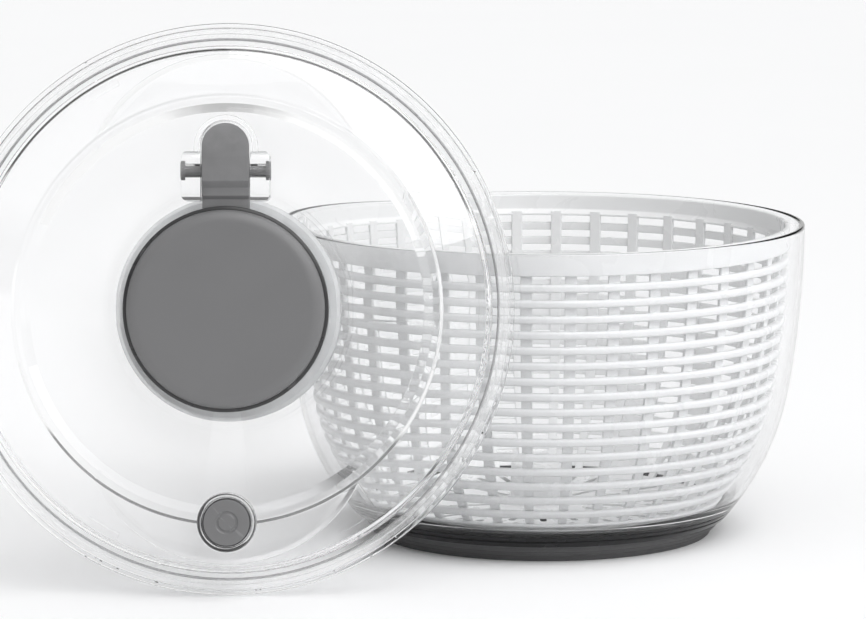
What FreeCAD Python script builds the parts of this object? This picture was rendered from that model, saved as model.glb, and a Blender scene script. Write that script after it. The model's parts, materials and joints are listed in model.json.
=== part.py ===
"""Salad spinner with a press lever: clear bowl, slotted basket, and a clear lid that stands beside the bowl.

Millimetres. The origin is the centre of the bowl's foot, on the surface it stands on, and +Z is up.
Lid pieces are modelled in the lid's own frame (+Z out of its top face) and placed with lid_placement().
"""
import FreeCAD, Part
import math
import os
import re

import Sketcher

DIMENSIONS = {
    # bowl
    "rim_radius": (125, "outer radius of the bowl's rim"),
    "bowl_height": (149, "height of the bowl's rim above the floor"),
    "upper_arc": (471, "radius of the wall's upper arc, upright at the rim"),
    "lower_arc": (128, "radius of the wall's lower arc, tangent to the upper one"),
    "arc_joint": (71, "height where the two arcs meet"),
    "bowl_wall": (2.5, "wall of the bowl"),
    "rim_round": (0.9, "rounding of the bowl's rim"),
    "foot_lift": (3, "height of the bowl's floor above the table"),
    "spigot_radius": (6, "radius of the spigot that carries the basket"),
    "spigot_top": (26, "height of the spigot's top"),
    "spigot_core": (3.5, "radius of the hollow inside the spigot"),
    # foot rings
    "ring_top": (13.5, "height of the hard foot ring's top"),
    "ring_split": (8, "height where the grip foot meets the hard ring"),
    "ring_skin": (2.6, "thickness of the foot rings outside the bowl"),
    "grip_step": (0.7, "how far the grip foot is set back from the hard ring"),
    "grip_inner": (74, "inner radius of the grip foot under the bowl"),
    # basket
    "basket_gap": (4.5, "gap between the bowl's inner wall and the basket"),
    "basket_drop": (0.5, "how far the basket's top is below the bowl's rim"),
    "band_height": (10.3, "height of the solid band at the basket's top"),
    "band_wall": (2.2, "wall of the solid band"),
    "hoop_count": (17, "number of hoops"),
    "hoop_top": (132.6, "height of the top hoop's middle"),
    "hoop_bottom": (17.3, "height of the bottom hoop's middle"),
    "hoop_height": (3.7, "height of a hoop"),
    "hoop_round": (0.7, "chamfer of a hoop's outer corners"),
    "hoop_depth": (2.8, "depth of a hoop outside the staves"),
    "stave_wall": (1.8, "thickness of a stave"),
    "stave_count": (36, "number of staves"),
    "stave_width": (5.8, "width of a stave at the rim"),
    "window_bite": (0.3, "how far the windows cut into the hoops' inner side"),
    "floor_low": (10, "height of the basket floor's underside"),
    "floor_wall": (2.2, "thickness of the basket's floor"),
    "hub_radius": (15, "outer radius of the basket's hub"),
    "hub_top": (33, "height of the basket's hub"),
    "slot_width": (3.2, "width of a drain slot in the basket's floor"),
    "slot_start": (24, "radius where the inner drain slots start"),
    "slot_land": (4, "solid land between and outside the rows of drain slots"),
    "slot_count": (18, "drain slots in the inner row"),
    # pivot
    "bearing_wall": (4.2, "wall of the bearing cup"),
    "bearing_low": (12.5, "height of the bearing cup's mouth"),
    "bearing_crown": (2.6, "thickness of the bearing cup's top"),
    # fits
    "running_fit": (0.05, "radial clearance of a turning fit"),
    "free_gap": (0.3, "gap between pieces that move past each other"),
    # lid shell
    "lid_lip": (2.4, "how far the lid's lip stands outside the bowl's rim"),
    "lid_wall": (2.4, "wall of the lid"),
    "lip_drop": (7, "how far the lip hangs below the flange's top"),
    "lip_gap": (0.5, "gap between the lip and the bowl's rim"),
    "lip_round": (0.8, "chamfer of the lip's outer edges"),
    "flange_width": (7.5, "from the bowl's rim in to the step wall"),
    "step_height": (5.2, "height of the step wall above the flange"),
    "step_round": (2.3, "width of the bevel above the step wall"),
    "dome_height": (13, "height of the lid's flat middle above the flange"),
    "slope_width": (19.5, "width of the sloping annulus"),
    "ridge_height": (2.2, "height of the ridge round the flat middle"),
    "ridge_bevel": (1.5, "width of the ridge's outer bevel"),
    "ridge_width": (3, "width of the ridge's flat top"),
    "ridge_slope": (4, "width of the ridge's inner slope"),
    "lobe_overlap": (17, "how far each flat lobe reaches past the lid's axis"),
    "lobe_margin": (4.5, "from the step wall in to a lobe's end"),
    "gasket_height": (1.2, "thickness of the lid's gasket"),
    "gasket_width": (5, "width of the lid's gasket"),
    # lid against the bowl
    "lean": (8.19, "angle of the lid from upright, in degrees"),
    "lid_side_shift": (143.3, "lid's centre to the left of the bowl's axis"),
    "lid_front_gap": (17.9, "lid's centre in front of the bowl's rim"),
    # press lever
    "pivot_reach": (60.9, "lever's pin from the lid's axis"),
    "pivot_rise": (10, "height of the lever's pin above the flat middle"),
    "pad_radius": (45.3, "radius of the press pad"),
    "pad_lift": (3, "gap from the lid's flat middle to the press pad"),
    "pad_height": (14, "height of the press pad"),
    "pad_wall": (2.4, "wall of the press pad"),
    "pad_edge": (1.8, "width of the pad's bright edge step"),
    "pad_bevel": (5.9, "width of the pad's rounded bevel"),
    "pad_bevel_drop": (3.1, "fall of the pad's rounded bevel"),
    "arm_width": (20.8, "width of the lever arm"),
    "arm_height": (8, "height of the arm where it enters the pad"),
    "arm_boss": (6.6, "radius of the arm's boss round the pin"),
    "tail_reach": (20.9, "tail's end beyond the pin"),
    "tail_thickness": (3.2, "thickness of the tail's end"),
    "pin_radius": (3, "radius of the lever's pin"),
    "pin_head_radius": (4.2, "radius of the pin's heads"),
    "pin_head_depth": (1.8, "depth of a pin head in its lug"),
    "pin_proud": (0.4, "how far a pin head stands out of its lug"),
    "pin_cap_grip": (1, "how far the pin reaches into its cap"),
    "lug_gap": (0.5, "gap between the arm and a lug"),
    "lug_width": (8.5, "width of a lug"),
    "lug_length": (21.8, "length of a lug"),
    "lug_back": (8.5, "lug's end beyond the pin"),
    "lug_round": (6.5, "radius of a lug's top round the pin"),
    "guard_gap": (1.2, "gap between the tail and its guard"),
    "guard_wall": (2.4, "wall of the tail's guard"),
    "guard_height": (13.5, "height of the tail's guard"),
    # plunger and drive
    "stroke": (22, "travel of the plunger"),
    "plunger_radius": (12, "outer radius of the plunger"),
    "plunger_crown": (3.4, "thickness of the plunger's domed head"),
    "plunger_dome": (2.6, "rise of the plunger's dome"),
    "guide_wall": (2.7, "wall of the plunger's guide in the lid"),
    "guide_margin": (3.5, "how far the plunger's mouth stays below its guide when the lever is up"),
    "nut_gap": (1.7, "gap from the drive nut down to the thrust collar"),
    "clutch_room": (8, "height inside the drum for the one-way clutch"),
    "guide_low": (3.5, "lower end of the plunger's guide"),
    "spindle_radius": (6.5, "radius of the spindle"),
    "spindle_top": (6, "upper end of the spindle"),
    "groove_depth": (1.4, "depth of the spindle's helical grooves"),
    "groove_width": (3, "width of the spindle's helical grooves, along the axis"),
    "groove_pitch": (24, "rise of the grooves in one turn"),
    "groove_lead_in": (30, "turn of a groove before the peg's lowest place, in degrees"),
    "collar_radius": (11, "radius of the spindle's thrust collar"),
    "collar_height": (2, "height of the spindle's thrust collar"),
    "neck_radius": (8, "radius of the spindle's neck in the cover"),
    "seat_radius": (5, "radius of the spindle under the pawl wheel"),
    "journal_radius": (4, "radius of the spindle's journal for the disc"),
    "nut_radius": (9.6, "outer radius of the drive nut"),
    "nut_height": (8, "height of the drive nut"),
    "peg_radius": (1.1, "radius of the drive nut's pegs"),
    "peg_rise": (3, "height of the pegs above the nut's lower face"),
    "spring_wire": (0.9, "wire of the return spring"),
    "spring_turns": (4, "turns of the return spring"),
    # housing
    "housing_radius": (50, "outer radius of the mechanism housing"),
    "housing_wall": (2, "wall of the mechanism housing"),
    "housing_top": (4, "upper face of the housing's roof"),
    "cover_wall": (2.3, "thickness of the housing's cover"),
    "housing_screw_circle": (30, "radius of the housing screws' circle"),
    "cover_screw_circle": (42, "radius of the cover screws' circle"),
    "screw_radius": (1.3, "radius of a screw's shank"),
    "screw_head_radius": (2.7, "radius of a screw's head"),
    "screw_head_height": (1.6, "height of a screw's head"),
    "screw_grip": (5, "length of thread in a boss"),
    "boss_radius": (3.8, "radius of a screw boss"),
    "recess_width": (0.7, "width of a screw's cross recess"),
    "recess_length": (3, "length of a screw's cross recess"),
    "recess_depth": (0.8, "depth of a screw's cross recess"),
    # drive disc
    "disc_clearance": (0.9, "gap between the disc and the lid's step wall"),
    "disc_wall": (2.2, "thickness of the drive disc"),
    "disc_top": (0.3, "upper face of the drive disc"),
    "drum_radius": (55.5, "outer radius of the disc's drum"),
    "drum_wall": (2, "wall of the disc's drum"),
    "disc_boss_radius": (10, "radius of the disc's boss"),
    "disc_boss_drop": (2.6, "how far the boss stands below the drum"),
    "tab_count": (6, "number of drive tabs"),
    "tab_width": (16, "width of a drive tab"),
    "tab_wall": (2.6, "thickness of a drive tab"),
    "tab_drop": (10, "length of a drive tab below the disc"),
    "bush_radius": (6.5, "outer radius of the disc's bush"),
    "ratchet_radius": (20, "outer radius of the ratchet ring"),
    "ratchet_teeth": (12, "number of ratchet teeth"),
    "ratchet_root": (17, "root radius of the ratchet teeth"),
    "ratchet_tip": (15.3, "tip radius of the ratchet teeth"),
    "ratchet_height": (6.4, "height of the ratchet ring"),
    "pawl_count": (3, "number of pawl fingers"),
    "pawl_hub_radius": (8.5, "radius of the pawl wheel's hub"),
    "pawl_finger": (1.6, "thickness of a pawl finger"),
    "washer_radius": (8, "radius of the disc's washer"),
    "washer_height": (1, "thickness of the disc's washer"),
    "disc_screw_head": (5, "radius of the disc screw's head"),
    "disc_screw_height": (2.2, "height of the disc screw's head"),
    "disc_screw_hole": (8, "depth of the disc screw's hole in the spindle"),
    "disc_screw_radius": (1.6, "radius of the disc screw's shank"),
    # brake
    "brake_inset": (1.6, "brake button's axis inside the ridge's outer edge"),
    "collar_flange": (13.2, "outer radius of the button's collar"),
    "collar_body": (12.2, "radius of the collar where it sits in the lid"),
    "collar_rise": (4, "height of the collar above the lid"),
    "collar_low": (8, "lower face of the collar's floor"),
    "collar_floor": (1.5, "thickness of the collar's floor"),
    "button_radius": (10.7, "radius of the brake button"),
    "button_rise": (5, "height of the brake button above the lid"),
    "button_wall": (1.8, "wall of the brake button"),
    "button_skirt": (4.2, "length of the brake button's skirt"),
    "dimple_radius": (4.3, "radius of the ring on the brake button"),
    "dimple_depth": (0.5, "depth of the ring on the brake button"),
    "dimple_width": (0.6, "width of the ring on the brake button"),
    "brake_travel": (3, "travel of the brake button"),
    "stem_radius": (3, "radius of the brake's stem"),
    "shoe_radius": (7, "radius of the brake shoe"),
    "shoe_height": (2.5, "thickness of the brake shoe"),
    "shoe_grip": (1.2, "how far the stem reaches into the shoe"),
    "shoe_rest": (0.4, "gap left between the shoe and the disc with the button pressed"),
    "brake_wire": (0.7, "wire of the brake spring"),
    "brake_turns": (3.5, "turns of the brake spring"),
}

doc = FreeCAD.newDocument("SaladSpinner")
sheet = doc.addObject("Spreadsheet::Sheet", "Dims")
for row, (alias, (number, meaning)) in enumerate(DIMENSIONS.items(), start=1):
    sheet.set(f"A{row}", alias)
    sheet.set(f"B{row}", str(number))
    sheet.set(f"C{row}", meaning)
    sheet.setAlias(f"B{row}", alias)
doc.recompute()

NODES = []


# ---------------------------------------------------------------- helpers

def number_of(text):
    """Value of an expression written with the sheet's aliases."""
    return float(sheet.evalExpression(text))


def bound(text):
    """The same expression as the document's other objects write it."""
    return re.sub(r"\b([a-z][a-z_]*)\b(?!\()", r"Dims.\1", text)


def as_text(entry):
    """Expressions are text; a bare number becomes one."""
    return entry if isinstance(entry, str) else repr(float(entry))


def new_body(label, placement=None):
    """A body whose label names its node."""
    body = doc.addObject("PartDesign::Body", label)
    body.Label = label
    body.AllowCompound = True
    if placement:
        body.Placement = placement
    NODES.append(body)
    return body


def origin_item(body, role):
    """One of the body's own origin planes or axes."""
    return next(item for item in body.Origin.OriginFeatures if item.Role == role)


def new_sketch(body, name, plane="XZ_Plane", offset="0"):
    """A sketch on one of the body's planes, moved along its normal."""
    sketch = body.newObject("Sketcher::SketchObject", name)
    sketch.AttachmentSupport = [(origin_item(body, plane), "")]
    sketch.MapMode = "FlatFace"
    sketch.AttachmentOffset = FreeCAD.Placement(FreeCAD.Vector(0, 0, number_of(offset)), FreeCAD.Rotation())
    sketch.setExpression("AttachmentOffset.Base.z", bound(offset))
    return sketch


def pin_point(sketch, edge, end, across, up, rules, sizes):
    """Hold one end of an edge at a place given by two expressions."""
    for kind, text in (("DistanceX", across), ("DistanceY", up)):
        rules.append(Sketcher.Constraint(kind, -1, 1, edge, end, number_of(text)))
        sizes.append(text)


def bind(sketch, rules, sizes):
    """Add the constraints and bind each sized one to its expression."""
    first = sketch.ConstraintCount
    sketch.addConstraint(rules)
    for index, text in enumerate(sizes):
        if text is not None:
            sketch.setExpression(f"Constraints[{first + index}]", bound(text))


def draw_outline(sketch, corners):
    """Closed outline of (across, up) corners, drawn anticlockwise.

    A third entry is the radius of the arc to the next corner: positive bulges outwards, negative inwards.
    """
    corners = [tuple(as_text(entry) for entry in corner) for corner in corners]
    points = [FreeCAD.Vector(number_of(corner[0]), number_of(corner[1]), 0) for corner in corners]
    first_edge = sketch.GeometryCount
    rules, sizes, ends = [], [], []
    for index, corner in enumerate(corners):
        start = points[index]
        stop = points[(index + 1) % len(points)]
        if len(corner) == 2:
            sketch.addGeometry(Part.LineSegment(start, stop), False)
            ends.append((1, 2))
            continue
        radius = number_of(corner[2])
        chord = stop - start
        left = FreeCAD.Vector(-chord.y, chord.x, 0).normalize()
        reach = math.sqrt(max(radius ** 2 - (chord.Length / 2) ** 2, 0))
        centre = (start + stop) * 0.5 + left * math.copysign(reach, radius)
        first, last = (start, stop) if radius > 0 else (stop, start)
        angles = [math.atan2((point - centre).y, (point - centre).x) for point in (first, last)]
        circle = Part.Circle(centre, FreeCAD.Vector(0, 0, 1), abs(radius))
        sketch.addGeometry(Part.ArcOfCircle(circle, angles[0], angles[1]), False)
        ends.append((1, 2) if radius > 0 else (2, 1))
    for index, corner in enumerate(corners):
        edge = first_edge + index
        following = first_edge + (index + 1) % len(corners)
        start_end = ends[index][0]
        rules.append(Sketcher.Constraint("Coincident", edge, ends[index][1], following,
                                         ends[(index + 1) % len(corners)][0]))
        sizes.append(None)
        pin_point(sketch, edge, start_end, corner[0], corner[1], rules, sizes)
        if len(corner) == 3:
            rules.append(Sketcher.Constraint("Radius", edge, abs(number_of(corner[2]))))
            sizes.append(f"abs({corner[2]})")
    bind(sketch, rules, sizes)


def draw_circle(sketch, radius, across="0", up="0"):
    """A circle whose centre and radius are bound."""
    centre = FreeCAD.Vector(number_of(across), number_of(up), 0)
    edge = sketch.addGeometry(Part.Circle(centre, FreeCAD.Vector(0, 0, 1), number_of(radius)), False)
    rules, sizes = [], []
    pin_point(sketch, edge, 3, across, up, rules, sizes)
    rules.append(Sketcher.Constraint("Radius", edge, number_of(radius)))
    sizes.append(radius)
    bind(sketch, rules, sizes)


def spin(body, corners, name="Profile", kind="Revolution", degrees=None):
    """Revolve an outline of (radius, height) corners about the body's Z axis, adding or cutting."""
    sketch = new_sketch(body, name + "Sketch", "XZ_Plane")
    draw_outline(sketch, corners)
    feature = body.newObject("PartDesign::" + kind, name)
    feature.Profile = sketch
    feature.ReferenceAxis = (sketch, ["V_Axis"])
    feature.Midplane = degrees is not None
    feature.Angle = 360 if degrees is None else number_of(degrees)
    if degrees is not None:
        feature.setExpression("Angle", bound(degrees))
    body.Tip = feature
    return feature


def extrude(body, sketch, length, name, kind="Pad", midplane=False, reverse=False):
    """Pad or pocket a sketch by a bound length."""
    feature = body.newObject("PartDesign::" + kind, name)
    feature.Profile = sketch
    feature.Type = 0
    feature.Length = number_of(length)
    feature.setExpression("Length", bound(length))
    feature.Midplane = midplane
    feature.Reversed = reverse
    body.Tip = feature
    return feature


def disc(body, radius, low, high, name, kind="Pad", across="0", up="0"):
    """Add or cut a round disc between two heights, centred on a point of the XY plane."""
    sketch = new_sketch(body, name + "Sketch", "XY_Plane", low)
    draw_circle(sketch, radius, across, up)
    return extrude(body, sketch, f"({high}) - ({low})", name, kind, reverse=(kind == "Pocket"))


def block(body, corners, low, high, name, kind="Pad"):
    """Add or cut a prism over an outline between two heights."""
    sketch = new_sketch(body, name + "Sketch", "XY_Plane", low)
    draw_outline(sketch, corners)
    return extrude(body, sketch, f"({high}) - ({low})", name, kind, reverse=(kind == "Pocket"))


def side_block(body, corners, near, far, name, kind="Pad"):
    """Add or cut a prism along X over an outline of (y, z) corners, from one x to another."""
    sketch = new_sketch(body, name + "Sketch", "YZ_Plane", near)
    draw_outline(sketch, corners)
    return extrude(body, sketch, f"({far}) - ({near})", name, kind, reverse=(kind == "Pocket"))


def side_disc(body, radius, near, far, across, up, name, kind="Pad"):
    """Add or cut a round bar along X, centred on (y, z), from one x to another."""
    sketch = new_sketch(body, name + "Sketch", "YZ_Plane", near)
    draw_circle(sketch, radius, across, up)
    return extrude(body, sketch, f"({far}) - ({near})", name, kind, reverse=(kind == "Pocket"))


def around(body, features, count, name):
    """Repeat features evenly about the body's Z axis."""
    pattern = body.newObject("PartDesign::PolarPattern", name)
    pattern.Originals = features
    pattern.Axis = (origin_item(body, "Z_Axis"), [""])
    pattern.Angle = 360
    pattern.Occurrences = round(number_of(count))
    pattern.setExpression("Occurrences", bound(count))
    body.Tip = pattern
    return pattern


def box_corners(left, right, low, high):
    """Corners of a rectangle."""
    return [(left, low), (right, low), (right, high), (left, high)]


# ---------------------------------------------------------------- the wall's curve

JOINT_RADIUS = "(rim_radius - upper_arc + sqrt(upper_arc^2 - (bowl_height - arc_joint)^2))"
ARC_RATIO = "(lower_arc / upper_arc)"
LOWER_CENTRE = f"({JOINT_RADIUS} * (1 - {ARC_RATIO}) + (rim_radius - upper_arc) * {ARC_RATIO})"
LOWER_CENTRE_UP = f"(arc_joint * (1 - {ARC_RATIO}) + bowl_height * {ARC_RATIO})"


def joint_up(inset):
    """Height where the two arcs of an inset wall meet."""
    return f"(bowl_height - (bowl_height - arc_joint) * (upper_arc - ({inset})) / upper_arc)"


def wall_radius(up, inset="0"):
    """Radius of the bowl's outer wall at a height, moved inwards by an inset along its normal."""
    if number_of(up) >= number_of(joint_up(inset)):
        centre, centre_up, radius = "(rim_radius - upper_arc)", "bowl_height", "upper_arc"
    else:
        centre, centre_up, radius = LOWER_CENTRE, LOWER_CENTRE_UP, "lower_arc"
    return f"({centre} + sqrt(({radius} - ({inset}))^2 - (({up}) - {centre_up})^2))"


def wall_point(up, inset="0"):
    """Corner on the inset wall at a height."""
    return (wall_radius(up, inset), up)


def rising_wall(low, high, inset):
    """Corners up the wall, with its two arcs, ending at the high corner."""
    return [wall_point(low, inset) + (f"lower_arc - ({inset})",),
            wall_point(joint_up(inset), inset) + (f"upper_arc - ({inset})",),
            wall_point(high, inset)]


def falling_wall(high, low, inset):
    """Corners down the wall, with its two arcs, ending at the low corner."""
    return [wall_point(high, inset) + (f"-(upper_arc - ({inset}))",),
            wall_point(joint_up(inset), inset) + (f"-(lower_arc - ({inset}))",),
            wall_point(low, inset)]


# ---------------------------------------------------------------- bowl

FLOOR_TOP = "(foot_lift + bowl_wall)"
FOOT_INSET = "ring_skin"
FOOT_INNER = "(ring_skin + bowl_wall)"


def make_outer_bowl():
    """Clear bowl: curved wall, set-in foot and a hollow spigot in the middle of the floor."""
    body = new_body("outer_bowl")
    corners = [("spigot_core", "foot_lift"), wall_point("foot_lift", FOOT_INSET),
               wall_point("ring_top", FOOT_INSET)]
    corners += rising_wall("ring_top", "bowl_height - rim_round", "0")
    corners += [("rim_radius - rim_round", "bowl_height"),
                ("rim_radius - bowl_wall + rim_round", "bowl_height")]
    corners += falling_wall("bowl_height - rim_round", "ring_top + 2 * bowl_wall", "bowl_wall")
    corners += [wall_point("ring_top", FOOT_INNER), wall_point(FLOOR_TOP, FOOT_INNER),
                ("spigot_radius", FLOOR_TOP), ("spigot_radius", "spigot_top - 1"),
                ("spigot_radius - 1", "spigot_top"), ("0", "spigot_top"), ("0", "spigot_top - bowl_wall"),
                ("spigot_core", "spigot_top - bowl_wall")]
    spin(body, corners)


def make_base_ring():
    """Hard glossy ring round the bowl's foot."""
    body = new_body("base_ring")
    spin(body, [wall_point("ring_split", FOOT_INSET), wall_point("ring_split"), wall_point("ring_top"),
                wall_point("ring_top", FOOT_INSET)])


def make_grip_foot():
    """Soft foot under the bowl; its sole is the face the whole object rests on."""
    body = new_body("grip_foot")
    spin(body, [("grip_inner", "0"), (f"{wall_radius('foot_lift', 'grip_step')} - 1.8", "0"),
                wall_point("foot_lift / 2", "grip_step"), wall_point("ring_split", "grip_step"),
                wall_point("ring_split", FOOT_INSET), wall_point("foot_lift", FOOT_INSET),
                ("grip_inner", "foot_lift")])


# ---------------------------------------------------------------- basket

BASKET_INSET = "(bowl_wall + basket_gap)"
BASKET_TOP = "(bowl_height - basket_drop)"
BAND_INNER = f"({BASKET_INSET} + band_wall)"
BAND_LOW = f"({BASKET_TOP} - band_height)"
STAVE_OUTER = f"({BASKET_INSET} + hoop_depth)"
STAVE_INNER = f"({BASKET_INSET} + hoop_depth + stave_wall)"
FLOOR_HIGH = "(floor_low + floor_wall)"
HOOP_PITCH = "((hoop_top - hoop_bottom) / (hoop_count - 1))"
SOCKET_RADIUS = "(spigot_radius + running_fit + bearing_wall + running_fit)"
SOCKET_TOP = "(spigot_top + free_gap + bearing_crown + free_gap)"


def hoop_corners(middle):
    """A hoop's corners on the outside of the staves, from its lower to its upper side."""
    low = f"({middle} - hoop_height / 2)"
    high = f"({middle} + hoop_height / 2)"
    rounded = f"({BASKET_INSET} + hoop_round)"
    return [wall_point(low, STAVE_OUTER), wall_point(low, rounded),
            wall_point(f"{low} + hoop_round", BASKET_INSET),
            wall_point(f"{high} - hoop_round", BASKET_INSET), wall_point(high, rounded),
            wall_point(high, STAVE_OUTER)]


def make_basket():
    """White basket: solid band, hoops outside upright staves, slotted floor and a hub over the pivot."""
    body = new_body("basket")
    corners = [(SOCKET_RADIUS, "floor_low"), wall_point("floor_low", BASKET_INSET),
               wall_point(f"{FLOOR_HIGH} + 1", BASKET_INSET), wall_point(f"{FLOOR_HIGH} + 1", STAVE_OUTER)]
    for index in reversed(range(round(number_of("hoop_count")))):
        corners += hoop_corners(f"(hoop_top - {index} * {HOOP_PITCH})")
    corners += [wall_point(BAND_LOW, STAVE_OUTER), wall_point(BAND_LOW, BASKET_INSET),
                wall_point(f"{BASKET_TOP} - hoop_round", BASKET_INSET),
                wall_point(BASKET_TOP, f"{BASKET_INSET} + hoop_round"),
                wall_point(BASKET_TOP, BAND_INNER), wall_point(f"{BAND_LOW} + 3", BAND_INNER)]
    corners += falling_wall(f"{BAND_LOW} + 1", f"{FLOOR_HIGH} + 2", STAVE_INNER)
    corners += [(f"{wall_radius(FLOOR_HIGH, STAVE_INNER)} - 2", FLOOR_HIGH), ("hub_radius + 2", FLOOR_HIGH),
                ("hub_radius", f"{FLOOR_HIGH} + 2"), ("hub_radius - 0.5", "hub_top - 2"),
                ("hub_radius - 2.5", "hub_top"), ("0", "hub_top"), ("0", SOCKET_TOP),
                (SOCKET_RADIUS, SOCKET_TOP)]
    spin(body, corners)
    slot_end = f"({wall_radius(FLOOR_HIGH, STAVE_INNER)} - 2 - slot_land)"
    row_length = f"(({slot_end} - slot_start - slot_land) / 2)"
    for name, start, count in (("InnerSlot", "slot_start", "slot_count"),
                               ("OuterSlot", f"(slot_start + slot_land + {row_length})", "slot_count * 2")):
        corners = box_corners(start, f"{start} + {row_length}", "-slot_width / 2", "slot_width / 2")
        slot = block(body, corners, "floor_low - 1", f"{FLOOR_HIGH} + 1", name, "Pocket")
        around(body, [slot], count, name + "s")
    window_inset = f"({STAVE_OUTER} - window_bite)"
    far_inset = f"({STAVE_INNER} + stave_wall)"
    low = f"({FLOOR_HIGH} + 3)"
    cut = falling_wall(BAND_LOW, low, far_inset) + rising_wall(low, BAND_LOW, window_inset)
    stave_angle = f"(stave_width / rim_radius * {math.degrees(1)})"
    window = spin(body, cut, "Window", "Groove", f"360 / stave_count - {stave_angle}")
    around(body, [window], "stave_count", "Windows")


def make_pivot_bearing():
    """Bearing cup that sits on the spigot and turns inside the basket's hub."""
    body = new_body("pivot_bearing")
    outer = "(spigot_radius + running_fit + bearing_wall)"
    inner = "(spigot_radius + running_fit)"
    crown = "(spigot_top + free_gap)"
    spin(body, [(inner, "bearing_low"), (outer, "bearing_low"), (outer, f"{crown} + bearing_crown"),
                ("0", f"{crown} + bearing_crown"), ("0", crown), (inner, crown)])


# ---------------------------------------------------------------- lid's place and levels

LID_RADIUS = "(rim_radius + lid_lip)"
STEP_RADIUS = "(rim_radius - flange_width)"
SHOULDER_RADIUS = "(rim_radius - flange_width - step_round)"
RIDGE_RADIUS = f"({SHOULDER_RADIUS} - slope_width)"
RIDGE_OUTER = f"({RIDGE_RADIUS} - ridge_bevel)"
RIDGE_INNER = f"({RIDGE_OUTER} - ridge_width)"
FLAT_RADIUS = f"({RIDGE_INNER} - ridge_slope)"
FLAT_UNDER = "(dome_height - lid_wall)"
LOBE_RADIUS = f"(({STEP_RADIUS} - lobe_margin + lobe_overlap) / 2)"
LOBE_CENTRE = f"({LOBE_RADIUS} - lobe_overlap)"
BRAKE_REACH = f"({RIDGE_RADIUS} - brake_inset)"
PIN_UP = "(dome_height + pivot_rise)"
PAD_LOW = "(dome_height + pad_lift)"
PAD_TOP = "(dome_height + pad_lift + pad_height)"
PLUNGER_TOP = f"({PAD_LOW} - free_gap)"
PLUNGER_ROOF = f"({PLUNGER_TOP} - plunger_crown)"
PLUNGER_BORE = "(spindle_radius + free_gap)"
GUIDE_RADIUS = "(plunger_radius + free_gap)"
PLUNGER_LOW = "(guide_low - guide_margin - stroke)"
COVER_LOW = f"({PLUNGER_LOW} - nut_gap - collar_height - cover_wall)"
COVER_TOP = f"({COVER_LOW} + cover_wall)"
COLLAR_TOP = f"({COVER_TOP} + collar_height)"
DRUM_FLOOR = f"({COVER_LOW} - clutch_room)"
DRUM_LOW = f"({DRUM_FLOOR} - drum_wall)"
DISC_LOW = "(disc_top - disc_wall)"
DISC_RADIUS = f"({STEP_RADIUS} - lid_wall - disc_clearance)"
SEAT_LOW = f"({DRUM_FLOOR} + free_gap)"
BOSS_LOW = f"({DRUM_LOW} - disc_boss_drop)"
WASHER_TOP = f"({BOSS_LOW} - free_gap)"
SHOE_LOW = "(disc_top + brake_travel + shoe_rest)"


def lid_placement():
    """The lid stands on its lip in front of the bowl, its top facing forwards, and leans back."""
    lean = math.radians(number_of("lean"))
    height = number_of(LID_RADIUS) * math.cos(lean) + number_of("lip_drop - lip_round") * math.sin(lean)
    centre = FreeCAD.Vector(-number_of("lid_side_shift"), -number_of("rim_radius + lid_front_gap"), height)
    turn = FreeCAD.Rotation(FreeCAD.Vector(1, 0, 0), 90 - number_of("lean"))
    return FreeCAD.Placement(centre, turn)


LID_PLACE = lid_placement()


# ---------------------------------------------------------------- lid

def lobe_outline(radius):
    """Outline of the two overlapping round lobes on the Y axis."""
    waist = f"sqrt(({radius})^2 - {LOBE_CENTRE}^2)"
    near = f"({LOBE_CENTRE} + ({radius}))"
    return [(waist, "0", radius), ("0", near, radius), (f"-{waist}", "0", radius),
            ("0", f"-{near}", radius)]


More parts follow.
